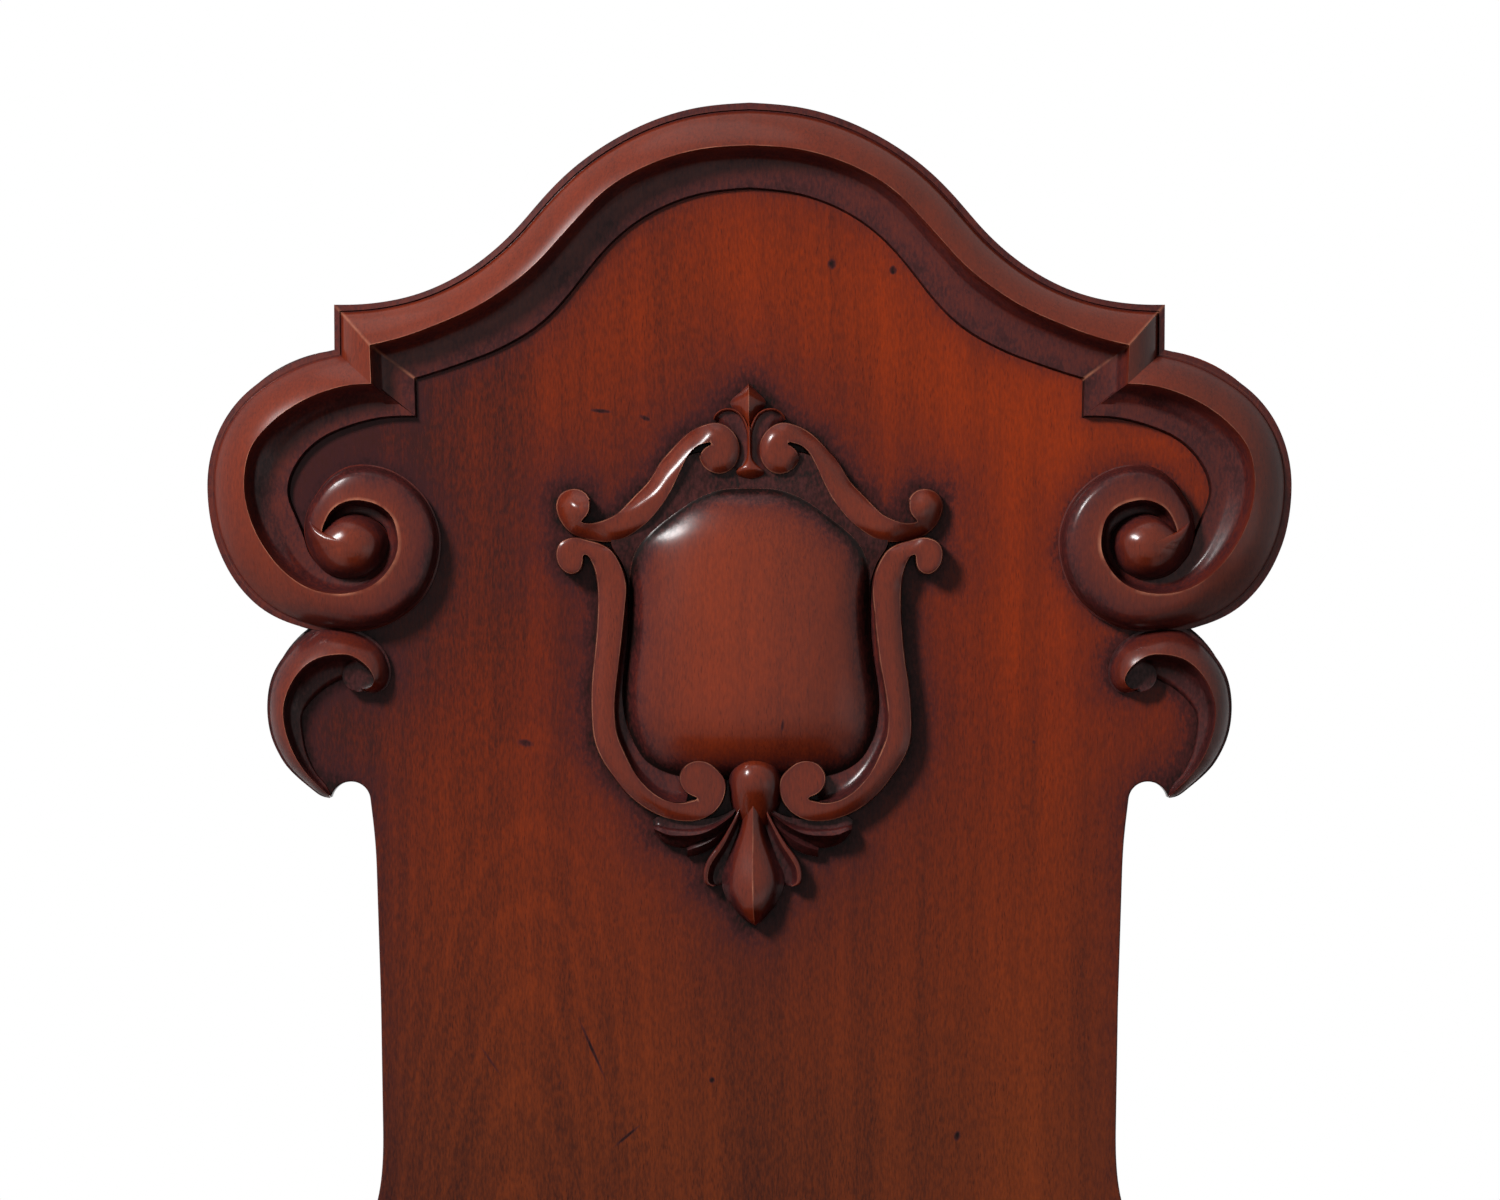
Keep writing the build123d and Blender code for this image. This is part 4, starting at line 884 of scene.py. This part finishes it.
# %% [markdown]
# The shield is a smooth swelling inside the strapwork. It takes the shape of a skin that is held at the
# outline and blown up, so it stays calm over the middle and falls faster near the edge. Along that edge it
# is darkened: old wax, and painted shade where the straps shade it.


# %% Shield
SHIELD_MM, DOME_POWER = 18.6, 1.95


def ledge(px):
    """The ledge behind the upper strapwork: lower behind the rolled heads, and gone at the shield's sides."""
    heads = np.exp(-((px[:, 0] - AXIS_PX) / 62) ** 2) * (1 - smooth((px[:, 1] - 472) / 42))
    return 2.8 + 6.0 * smooth((605 - px[:, 1]) / 75) - 3.2 * heads


def swelling(px, swell):
    """The shield's height, which starts level with the ledge near its upper edge."""
    start = 1 - smooth((600 - px[:, 1]) / 60) * (1 - smooth(swell / 0.09))
    return ledge(px) + (SHIELD_MM - ledge(px)) * (1 - (1 - swell) ** DOME_POWER) * start


ledge_edge = [(749.5, 470), (734, 467), (718, 458), (706, 452), (696, 452), (684, 458), (674, 472), (664, 488),
              (652, 502), (640, 513), (628, 523), (616, 532), (610, 541), (612.5, 550), (619, 560), (624.5, 573),
              (627.5, 587), (628, 600), (640, 610), (690, 611), (749.5, 611)]


def whole(edge):
    """Half an outline and its mirror image as one closed run."""
    line = edge + [tuple(p) for p in mirrored(edge[:-1], lean_axis)[::-1]]
    return [[(*p, 1, 0) for p in line]]


shield = join("shield_carved", [
    # The stain here is old wax and painted shade along the shield's edge.
    carve_pillow("dome", whole(shield_edge), grain=4.4, stain_and_shade=0.85, wear=0.1, shape=swelling),
    carve_pillow("ledge", whole(ledge_edge), grain=4.4, ground=0.78, wear=0.1,
                 shape=lambda px, swell: ledge(px) - 0.15)])
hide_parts("shield")
print("shield:", len(shield.data.vertices), "points")

# %% [markdown]
# Above the shield a pointed bud stands between two petals, whose raised rims run down together as a thin
# stem. The leaf drop below is a round bulb whose stem opens into a ridged middle lobe, with two leaves
# fanned out on each side. Most leaves are strips between two edges, with the ridge as the line between.


# %% Bud and leaf drop
def ridged(slope):
    """One slope of a leaf up to its ridge, and the same slope down the other side."""
    return [slope, [(2 - place, height, wax_and_shade) for place, height, wax_and_shade in reversed(slope)]]


def leaf(name, rows, points, steps, turn=as_drawn):
    """A leaf whose section is (place, height, wax and painted shade) points between its two edges, with its arrises
    given as separate runs."""
    guides, share = guides_of(rows, steps)
    runs = [([(points[0][0][0], SUNK_MM, 1), points[0][0]], 2), *[(run, 3 * len(run)) for run in points],
            ([points[-1][-1], (2.0, SUNK_MM, 1)], 2)]
    return lay_strip(name, turn(guides), section_of(*runs), share)


point_rows = [
    ((747.6, 384.6), (748.7, 384), (749.8, 384.6), 0.5), ((739.4, 392.8), (748.7, 391), (759.4, 393.9), 0.85),
    ((730, 402.8), (748.8, 401), (766, 402.8), 1), ((735, 412), (748.8, 411), (762, 411)),
    ((743, 424), (748.9, 423), (755, 424), 0.9), ((747, 430), (749, 430), (751, 430), 0.8)
]
petal_rows = [
    ((713.2, 419.5), (715, 420.5), (719, 424), 0.7), ((714.4, 415.8), (716.5, 418), (722, 425), 0.8),
    ((718.9, 411), (720.6, 414), (726, 427), 0.9), ((724.5, 408.7), (725.4, 412.2), (730, 430), 1),
    ((731.7, 408.6), (731.2, 412.2), (733, 434)), ((738.3, 411.2), (736.6, 414.6), (735, 438)),
    ((743.2, 415.8), (740.4, 418.6), (736, 443)), ((747, 422.6), (743.8, 425.2), (736.5, 448)),
    ((748.9, 430), (745.8, 431.5), (736.5, 453)), ((749.4, 440), (747, 440), (736, 458)),
    ((749.5, 450), (747.3, 450), (735, 462)), ((749.6, 459), (746.6, 460), (734, 466)),
    ((749.7, 465), (743, 467), (733, 470))
]
stem_rows = [
    ((748.2, 424), (749.2, 424), (750.4, 424), 0.9), ((747.3, 430), (749.2, 430), (751.2, 430), 1),
    ((747.3, 440), (749.4, 440), (751.4, 440)), ((747.3, 452), (749.5, 452), (751.7, 452)),
    ((746, 460), (749.6, 460), (753.4, 460)), ((741, 466.5), (750, 467), (759, 466.5)),
    ((736.3, 470.8), (750.2, 471), (764, 470.8), 0.95), ((736.6, 474.5), (750.4, 475), (764.4, 474), 0.8),
    ((743, 478), (750.6, 479), (759, 478), 0.6)
]
petal_section = [[(0.05, 7.8, 0.2), (0.35, 8.8, 0), (0.6, 8.4, 0.1)],
                 [(0.6, 8.4, 0.3), (0.85, 7.0, 0.5), (1.2, 6.2, 0.5), (1.96, 5.6, 0.7)]]
bud = join("bud_carved", [
    leaf("point", point_rows, ridged([(0.03, 4.4, 0.4), (0.5, 7.4, 0.12), (1.0, 10, 0)]), 50),
    leaf("petal", petal_rows, petal_section, 90),
    leaf("petal", petal_rows, petal_section, 90, mirrored),
    leaf("stem", stem_rows, [[(0.04, 7.4, 0.3), (0.5, 9.6, 0), (1.0, 10, 0), (1.5, 9.6, 0), (1.96, 7.4, 0.3)]],
         70),
])
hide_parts("bud")

bulb_rows = round_rows(755.5, 754, [
    (754.6, 3, 0.34), (756.2, 11, 0.52), (759.5, 16.8, 0.68), (764, 21, 0.81), (770, 24.6, 0.91), (777, 26.4, 0.96),
    (785, 26.8, 0.95), (793, 26.4, 0.89), (801, 25.4, 0.79), (808, 23.6, 0.69), (814, 21, 0.6), (820, 17, 0.5),
    (826, 12, 0.4)])
lobe_rows = [
    ((742.5, 790), (753, 790), (765, 790), 0.86), ((741.3, 803), (753, 803), (766.3, 803), 0.87),
    ((739, 815.4), (753, 815.4), (766.6, 817), 0.82), ((735.9, 828.5), (753, 829), (768.5, 832), 0.78),
    ((730.4, 843.7), (753, 844), (773.9, 847), 0.8), ((725, 858.9), (752.7, 859), (780.5, 861), 0.86),
    ((721.7, 872), (752.6, 872), (784.8, 873), 0.93), ((721.3, 885), (752.8, 885), (784.8, 885), 0.99),
    ((725, 895.9), (753, 896), (780.6, 897), 1.0), ((732.6, 906.7), (753.3, 907), (774, 907.5), 0.94),
    ((741.3, 916.5), (754, 916.5), (765, 918), 0.76), ((749.5, 923), (754.5, 923), (759.5, 923), 0.55),
    ((753.6, 925), (754.8, 925.2), (756, 925), 0.4)
]
inner_rows = [
    ((741, 800), (742.5, 801), (744, 802), 0.85), ((738.6, 808), (740.6, 809), (742, 812), 0.95),
    ((735.2, 815), (738, 817), (741, 822), 1), ((730.6, 823.5), (734, 826), (738, 832)),
    ((723.5, 835.5), (728, 838.5), (734, 844)), ((715.2, 847.6), (720.5, 851.5), (729, 857)),
    ((708.2, 857), (714, 861), (725.5, 867)), ((704, 867), (710, 869.5), (723, 874), 0.98),
    ((703, 877), (709, 878), (722.5, 879.5), 0.92), ((705, 883.6), (710.5, 882.6), (722, 883), 0.85),
    ((712, 886.2), (715, 885.4), (721.5, 884.6), 0.75)
]
upper_leaf_rows = [
    ((738, 806), (733, 814), (730, 824), 0.9), ((722, 815), (720, 824), (718, 834), 1),
    ((708, 818), (707, 831), (706, 840)), ((694, 819), (694, 834.5), (695, 845)),
    ((681, 818), (681, 835), (684.5, 848), 0.96), ((668, 816), (668, 834), (672, 846), 0.92),
    ((657, 816.5), (658, 830), (661, 840), 0.86), ((652.8, 820), (654, 828.5), (655.8, 834.5), 0.7)
]
under_leaf_rows = [
    ((736, 813), (734.5, 817), (733.2, 820.5), 0.8), ((728, 819), (729.5, 825), (728.5, 831), 0.95),
    ((718, 826), (720, 834), (719.8, 842), 1), ((706, 833), (708, 842), (709, 850.5)),
    ((695, 839.5), (696.5, 847), (697.5, 855), 0.95), ((686.5, 845), (687.5, 850), (687.5, 857), 0.8)
]
drop_parts = [
    leaf("lobe", lobe_rows, ridged([(0.03, 4.2, 0.8), (0.12, 5.0, 0.7), (0.34, 8.0, 0.4), (0.66, 11.0, 0.08),
                                    (1.0, 12.6, 0)]), 110),
    leaf("bulb", bulb_rows, [[(1 + s, 3.4 + 11.6 * math.sqrt(1 - s * s), 0.7 * abs(s) ** 3) for s in
                              np.linspace(-0.985, 0.985, 17)]], 80),
]
for turn in (as_drawn, lambda places: mirrored(places, lambda y: AXIS_PX + LEAN_PX)):
    drop_parts += [
        leaf("inner leaf", inner_rows,
             [[(0.1, 6.6, 0.5), (0.5, 8.6, 0.2), (0.8, 8.3, 0.1)],
              [(0.8, 8.3, 0.4), (1.2, 5.4, 0.7), (1.6, 4.2, 0.8), (1.97, 4.0, 0.9)]], 70, turn),
        leaf("upper leaf", upper_leaf_rows,
             [[(0.03, 7.0, 0.8), (0.3, 7.0, 0.8), (0.65, 8.2, 0.7), (1.0, 10.4, 0.55)],
              [(1.0, 10.4, 0.65), (1.25, 7.8, 0.85), (1.6, 6.6, 0.8), (1.97, 4.6, 0.8)]], 70, turn),
        leaf("under leaf", under_leaf_rows,
             [[(0.03, 4.6, 0.9), (0.4, 5.8, 0.8), (1.0, 7.0, 0.65)],
              [(1.0, 7.0, 0.7), (1.5, 5.6, 0.75), (1.96, 4.0, 0.75)]], 60, turn),
    ]
leaf_drop = join("leaf_drop_carved", drop_parts)
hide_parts("leaf_drop")
print("bud and leaf drop:", len(bud.data.vertices), len(leaf_drop.data.vertices), "points")

# %% [markdown]
# The back board is one wide piece of mahogany, sawn to the outline that the carving needs. Its outline is
# drawn as a filled curve, given its thickness and a slightly rounded arris, and made a mesh. Then its face
# is cut into a fine net with bisect, so that it can carry a darkening round every piece of carving.


# %% Back board
def arc_px(start, middle, end, steps):
    """Points of the arc through three places."""
    (ax, ay), (bx, by), (cx, cy) = start, middle, end
    d = 2 * (ax * (by - cy) + bx * (cy - ay) + cx * (ay - by))
    ux = ((ax**2 + ay**2) * (by - cy) + (bx**2 + by**2) * (cy - ay) + (cx**2 + cy**2) * (ay - by)) / d
    uy = ((ax**2 + ay**2) * (cx - bx) + (bx**2 + by**2) * (ax - cx) + (cx**2 + cy**2) * (bx - ax)) / d
    r = math.hypot(ax - ux, ay - uy)
    turn = [math.atan2(y - uy, x - ux) for x, y in (start, middle, end)]
    while turn[1] < turn[0]:
        turn[1] += math.tau
    while turn[2] < turn[0]:
        turn[2] += math.tau
    if turn[1] > turn[2]:
        turn[2] -= math.tau
    at = np.linspace(turn[0], turn[2], steps + 1)
    return [(ux + r * math.cos(t), uy + r * math.sin(t)) for t in at]


arc_start = (334, 350)
side_px = [*[tuple(p) for p in even_line(crest_outer, 90)], arc_start]
for middle, end, steps in (((249, 391), (209, 488), 40), ((233, 577), (307, 629), 40), ((269, 707), (331, 798), 48),
                           ((339, 786), (352, 782), 14), ((364, 787), (370, 799), 12)):
    side_px += arc_px(arc_start, middle, end, steps)[1:]
    arc_start = end
side_px += [tuple(p) for p in even_line([(370, 799), (375, 845), (377, 890), (379, 950), (381, 1030), (382, 1100),
                                         (382, 1165), (375, 1208), (357, 1245), (332, 1272)], 70)][1:]
side_px += [(332, 1289.9)]
outline_px = np.array(side_px + [tuple(p) for p in mirrored(side_px[:0:-1])])
print("board outline:", len(outline_px), "points")

BOARD_MM, ARRIS_MM, INSET_MM, NET_MM = 22.0, 0.7, 0.15, 2.6


def board_matrix():
    matrix = Matrix([[*v] for v in (ACROSS, UP_BOARD, OUT_OF_BOARD)]).transposed().to_4x4()
    matrix.translation = Vector(BOARD_FOOT)
    return matrix


def cut_board():
    """The board's outline as a curve with its thickness, made a mesh."""
    curve = bpy.data.curves.new("board", "CURVE")
    curve.dimensions = "2D"
    curve.fill_mode = "BOTH"
    line = curve.splines.new("POLY")
    line.points.add(len(outline_px) - 1)
    for point, (x, y) in zip(line.points, outline_px):
        point.co = ((x - AXIS_PX) * MM_PER_PX * MM, (FOOT_PX - y) * MM_PER_PX * MM, 0, 1)
    line.use_cyclic_u = True
    curve.extrude = (BOARD_MM / 2 - ARRIS_MM) * MM
    curve.bevel_depth = ARRIS_MM * MM
    curve.bevel_resolution = 2
    curve.offset = -(ARRIS_MM + INSET_MM) * MM
    board = bpy.data.objects.new("back_board_cut", curve)
    bpy.context.collection.objects.link(board)
    select_only(board)
    bpy.ops.object.convert(target="MESH")
    board.data.transform(board_matrix() @ Matrix.Translation((0, 0, -BOARD_MM / 2 * MM)))
    return board


board = cut_board()
bpy.ops.object.mode_set(mode="EDIT")
bpy.ops.mesh.select_all(action="SELECT")
bpy.ops.mesh.remove_doubles(threshold=0.00001)
bpy.ops.mesh.dissolve_limited(angle_limit=math.radians(0.5))
bpy.ops.mesh.normals_make_consistent(inside=False)
bpy.ops.object.mode_set(mode="OBJECT")
print("board before its net:", len(board.data.polygons), "faces")


def net_the_face(board):
    """Cuts the board's front face into small squares, for the halo to be drawn on."""
    mesh = bmesh.new()
    mesh.from_mesh(board.data)
    low, high = outline_px.min(axis=0), outline_px.max(axis=0)
    step = NET_MM / MM_PER_PX
    for axis, start, end in ((0, low[0], high[0]), (1, low[1], high[1])):
        normal = ACROSS if axis == 0 else UP_BOARD
        for value in np.arange(start + step / 2, end, step):
            spot = on_board([value, FOOT_PX] if axis == 0 else [AXIS_PX, value], 0)
            front = [f for f in mesh.faces if f.normal.dot(Vector(OUT_OF_BOARD)) > 0.999]
            around = front + list({e for f in front for e in f.edges}) + list({v for f in front for v in f.verts})
            bmesh.ops.bisect_plane(mesh, geom=around, plane_co=spot, plane_no=normal, dist=1e-6)
    mesh.to_mesh(board.data)
    mesh.free()


net_the_face(board)
print("board with its net:", len(board.data.polygons), "faces")

# %% [markdown]
# The halo is the distance from each point of the face to the nearest carved edge. It is dark close beside
# the carving and fades over a wider band. The key of each list says how strong its lines' halo is. The
# upper left of the board is darker and more purple, as the wood's tone and a painted sheen, and the sawn edge is
# darker too.

# %% Halo round the carving
HALO_STEPS, ROLL_START = 160, 190
CLOSE_HALO, CLOSE_PX, WIDE_HALO, WIDE_PX = 0.42, 7, 0.56, 50
CORNER_TONE_AND_SHEEN, EDGE_DIRT, EDGE_PX, SIDE_DIRT = 0.16, 0.34, 26, 0.12
halo_lines = {0.4: [crest_guides[2]], 0.55: [], 0.75: [], 1.0: []}
for turn in (as_drawn, mirrored):
    halo_lines[0.4] += [turn(volute_guides[2])]
    halo_lines[0.75] += [turn(leaf_guides[0]), turn(leaf_guides[2])]
    halo_lines[0.55] += [turn(volute_guides[0, ROLL_START:])]
for turn in (as_drawn, lambda places: mirrored(places, lean_axis)):
    for run in (*upper_runs, *lower_runs):
        halo_lines[1.0].append(turn(even_line([row[:2] for row in run], HALO_STEPS)))
    for rows in (point_rows, petal_rows, lobe_rows, inner_rows, upper_leaf_rows, under_leaf_rows):
        halo_lines[1.0] += [turn(line) for line in guides_of(rows, 40)[0][::2]]


def to_px(verts):
    """Where points of the board lie on the drawing, and how far out of its face."""
    local = verts - BOARD_FOOT
    x = local @ ACROSS / MM / MM_PER_PX + AXIS_PX
    y = FOOT_PX - local @ UP_BOARD / MM / MM_PER_PX
    return np.stack([x, y], axis=1), local @ OUT_OF_BOARD / MM


def halo_of(piece):
    verts = np.array([v.co for v in piece.data.vertices])
    px, out = to_px(verts)
    wax_and_shade = np.zeros(len(px))
    for weight, lines in halo_lines.items():
        for block, away in reach_of(px, np.vstack([line.reshape(-1, 2) for line in lines])):
            reach = away.min(axis=1)
            darkening_and_sheen = CLOSE_HALO * np.exp(-reach / CLOSE_PX) + WIDE_HALO * np.exp(-reach / WIDE_PX)
            wax_and_shade[block] = np.maximum(wax_and_shade[block], weight * darkening_and_sheen)
    # The upper left is darkened and tinted purple: the wood's tone, and a painted sheen.
    wax_and_shade += CORNER_TONE_AND_SHEEN * smooth((620 - px[:, 0]) / 280) * smooth((800 - px[:, 1]) / 300)
    for block, away in reach_of(px, outline_px[::4]):
        wax_and_shade[block] += EDGE_DIRT * np.exp(-away.min(axis=1) / EDGE_PX)
    wax_and_shade[out < -1] = SIDE_DIRT
    return wax_and_shade


board_darkening = halo_of(board)
set_marks(board.data, board_darkening, 0 * board_darkening)
select_only(board)
bpy.ops.object.shade_smooth_by_angle(angle=math.radians(35))
board.select_set(False)
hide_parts("back_board")
print("halo from", round(float(board_darkening.min()), 2), "to", round(float(board_darkening.max()), 2))

# %% [markdown]
# The seat, rails and legs keep the joiner's solids, whose shapes are right, and take the same polish. The
# blocks and screws under the seat were never polished.


# %% Finishes for the joiner's pieces
def plain(name, dark, light, roughness, scale, metal=0.0):
    """Unpolished pine, oak or steel, with streaks along the piece."""
    material, tree, shader = new_material(name)
    streaks = noise(tree, node(tree, "TexCoord").outputs["Object"], scale, 4.0)
    tree.links.new(blend(tree, spread(tree, streaks, 0.3, 0.7), dark, light), shader.inputs["Base Color"])
    tree.links.new(spread(tree, streaks, 0.2, 0.8, roughness - 0.08, roughness + 0.08), shader.inputs["Roughness"])
    bump = node(tree, "Bump", {"Height": streaks, "Strength": 0.1, "Distance": 0.0005})
    tree.links.new(bump.outputs[0], shader.inputs["Normal"])
    shader.inputs["Metallic"].default_value = metal
    return material


pine = plain("block_pine_sawn", rgb(150, 112, 70), rgb(196, 160, 110), 0.65, (30, 160, 160))
oak = plain("peg_oak_cleft", rgb(92, 62, 38), rgb(128, 92, 58), 0.45, (200, 30, 200))
steel = plain("screw_steel_dull", rgb(70, 66, 62), rgb(120, 114, 108), 0.42, (300, 300, 300), 1.0)
finishes = {"seat_mahogany": seat_wood, "frame_mahogany": leg_wood, "block_pine": pine, "peg_oak": oak,
            "screw_steel": steel, "carved_mahogany": carved_wood, "back_mahogany": board_wood}
replaced = {"back_board", "crest_moulding", "shield", "bud", "leaf_drop"}
for name in ("volute", "leaf_scroll", "upper_scroll", "lower_scroll"):
    replaced |= {f"left_{name}", f"right_{name}"}
for row in frame["record"]["subparts"]:
    name = row["node"]
    if name in replaced:
        continue
    wood = rail_wood if name in ("front_rail", "back_rail") else finishes[row["material_slot"]]
    solid = frame["nodes"][name]
    for place in solid.material_slots:
        place.material = wood

carved = [crest, *volutes, *leaf_scrolls, *upper_scrolls, *lower_scrolls, shield, bud, leaf_drop]
for piece in (*carved, board):
    piece.data.materials.clear()
    piece.data.materials.append({board: board_wood, shield: shield_wood}.get(piece, carved_wood))
    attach(piece, "root")
print("dressed:", len(carved) + 1, "carved or cut pieces")

# %% [markdown]
# The studio: one soft lamp above and to the left, as the highlights show, a weak fill, and a soft lamp behind
# for the chair's back. The floor is pale and fades out at its rim, and what lies behind the chair is white,
# for the camera and in reflections too. White all round would turn a thick polish chalky, so the polish is
# thin and the lamp is small, which keeps the highlights. The light that falls on the wood is that of the
# lamps and a dim world.


# %% Studio
def softbox(name, spot, aim, width, height, power):
    lamp = bpy.data.lights.new(name, "AREA")
    lamp.shape = "ELLIPSE"
    lamp.size, lamp.size_y = width, height
    lamp.energy = power
    holder = bpy.data.objects.new(name, lamp)
    bpy.context.collection.objects.link(holder)
    holder.location = spot
    holder.rotation_euler = (Vector(aim) - Vector(spot)).to_track_quat("-Z", "Y").to_euler()


centre = Vector(on_board([750, 600], 0))


def from_board(off_axis, round_from_up, distance):
    """A place seen from the carving: degrees off the camera's line, and degrees to the left of straight up."""
    off, turn = math.radians(off_axis), math.radians(round_from_up)
    way = (OUT_OF_BOARD * math.cos(off) + UP_BOARD * math.sin(off) * math.cos(turn)
           - ACROSS * math.sin(off) * math.sin(turn))
    return centre + Vector(way) * distance


softbox("key_softbox", from_board(50, 45, 2.0), centre, 0.46, 0.46, 54)
softbox("fill_softbox", from_board(55, -110, 2.6), centre, 1.2, 1.2, 1.6)
softbox("top_softbox", from_board(78, 8, 2.0), centre, 1.6, 0.9, 3.2)
softbox("back_softbox", Vector((0.25, 2.8, 0.95)), Vector((0, 0.1, 0.5)), 1.6, 1.2, 50)

world = bpy.data.worlds.new("studio")
bpy.context.scene.world = world
world.use_nodes = True
tree = world.node_tree
tree.nodes.clear()
rays = node(tree, "LightPath")
seen = rays.outputs["Is Camera Ray"]
for ray in ("Is Transmission Ray", "Is Glossy Ray"):
    seen = maths(tree, "MAXIMUM", seen, rays.outputs[ray])
dim = node(tree, "Background", {"Color": (0.9, 0.95, 1, 1), "Strength": 0.035})
white = node(tree, "Background", {"Color": (1, 1, 1, 1), "Strength": 1.0})
mixed = node(tree, "MixShader", {0: seen, 1: dim.outputs[0], 2: white.outputs[0]})
out = node(tree, "OutputWorld")
tree.links.new(mixed.outputs[0], out.inputs["Surface"])

bpy.ops.mesh.primitive_circle_add(vertices=96, radius=2.3, fill_type="NGON", location=(0, 0, 0))
floor = bpy.context.object
floor.name = "floor"
paper, tree, shader = new_material("pale_paper")
spot = node(tree, "TexCoord").outputs["Object"]
grain = node(tree, "TexNoise", {"Vector": spot, "Scale": 180.0})
tree.links.new(blend(tree, grain.outputs["Fac"], (0.68, 0.68, 0.67, 1), (0.72, 0.72, 0.71, 1)),
               shader.inputs["Base Color"])
away = node(tree, "VectorMath", {0: spot}, operation="LENGTH").outputs["Value"]
tree.links.new(spread(tree, away, 1.0, 2.25, 1.0, 0.0), shader.inputs["Alpha"])
shader.inputs["Roughness"].default_value = 0.8
floor.data.materials.append(paper)
bpy.context.scene.view_settings.view_transform = "Standard"

# %% [markdown]
# The camera stands four metres off, square to the board, with a long lens, because the photograph shows no
# perspective. Its frame is 600 by 480 millimetres at the board, 1500 by 1200 of the photograph's pixels.

# %% Camera
CAMERA_DISTANCE, SENSOR = 4.0, 36.0
lens = bpy.data.cameras.new("camera")
lens.sensor_width = SENSOR
lens.lens = SENSOR * CAMERA_DISTANCE / (1500 * MM_PER_PX * MM)
camera = bpy.data.objects.new("camera", lens)
bpy.context.collection.objects.link(camera)
stand = board_matrix()
stand.translation = centre + Vector(OUT_OF_BOARD) * CAMERA_DISTANCE
camera.matrix_world = stand
bpy.context.scene.camera = camera
print("lens:", round(lens.lens, 1), "mm")
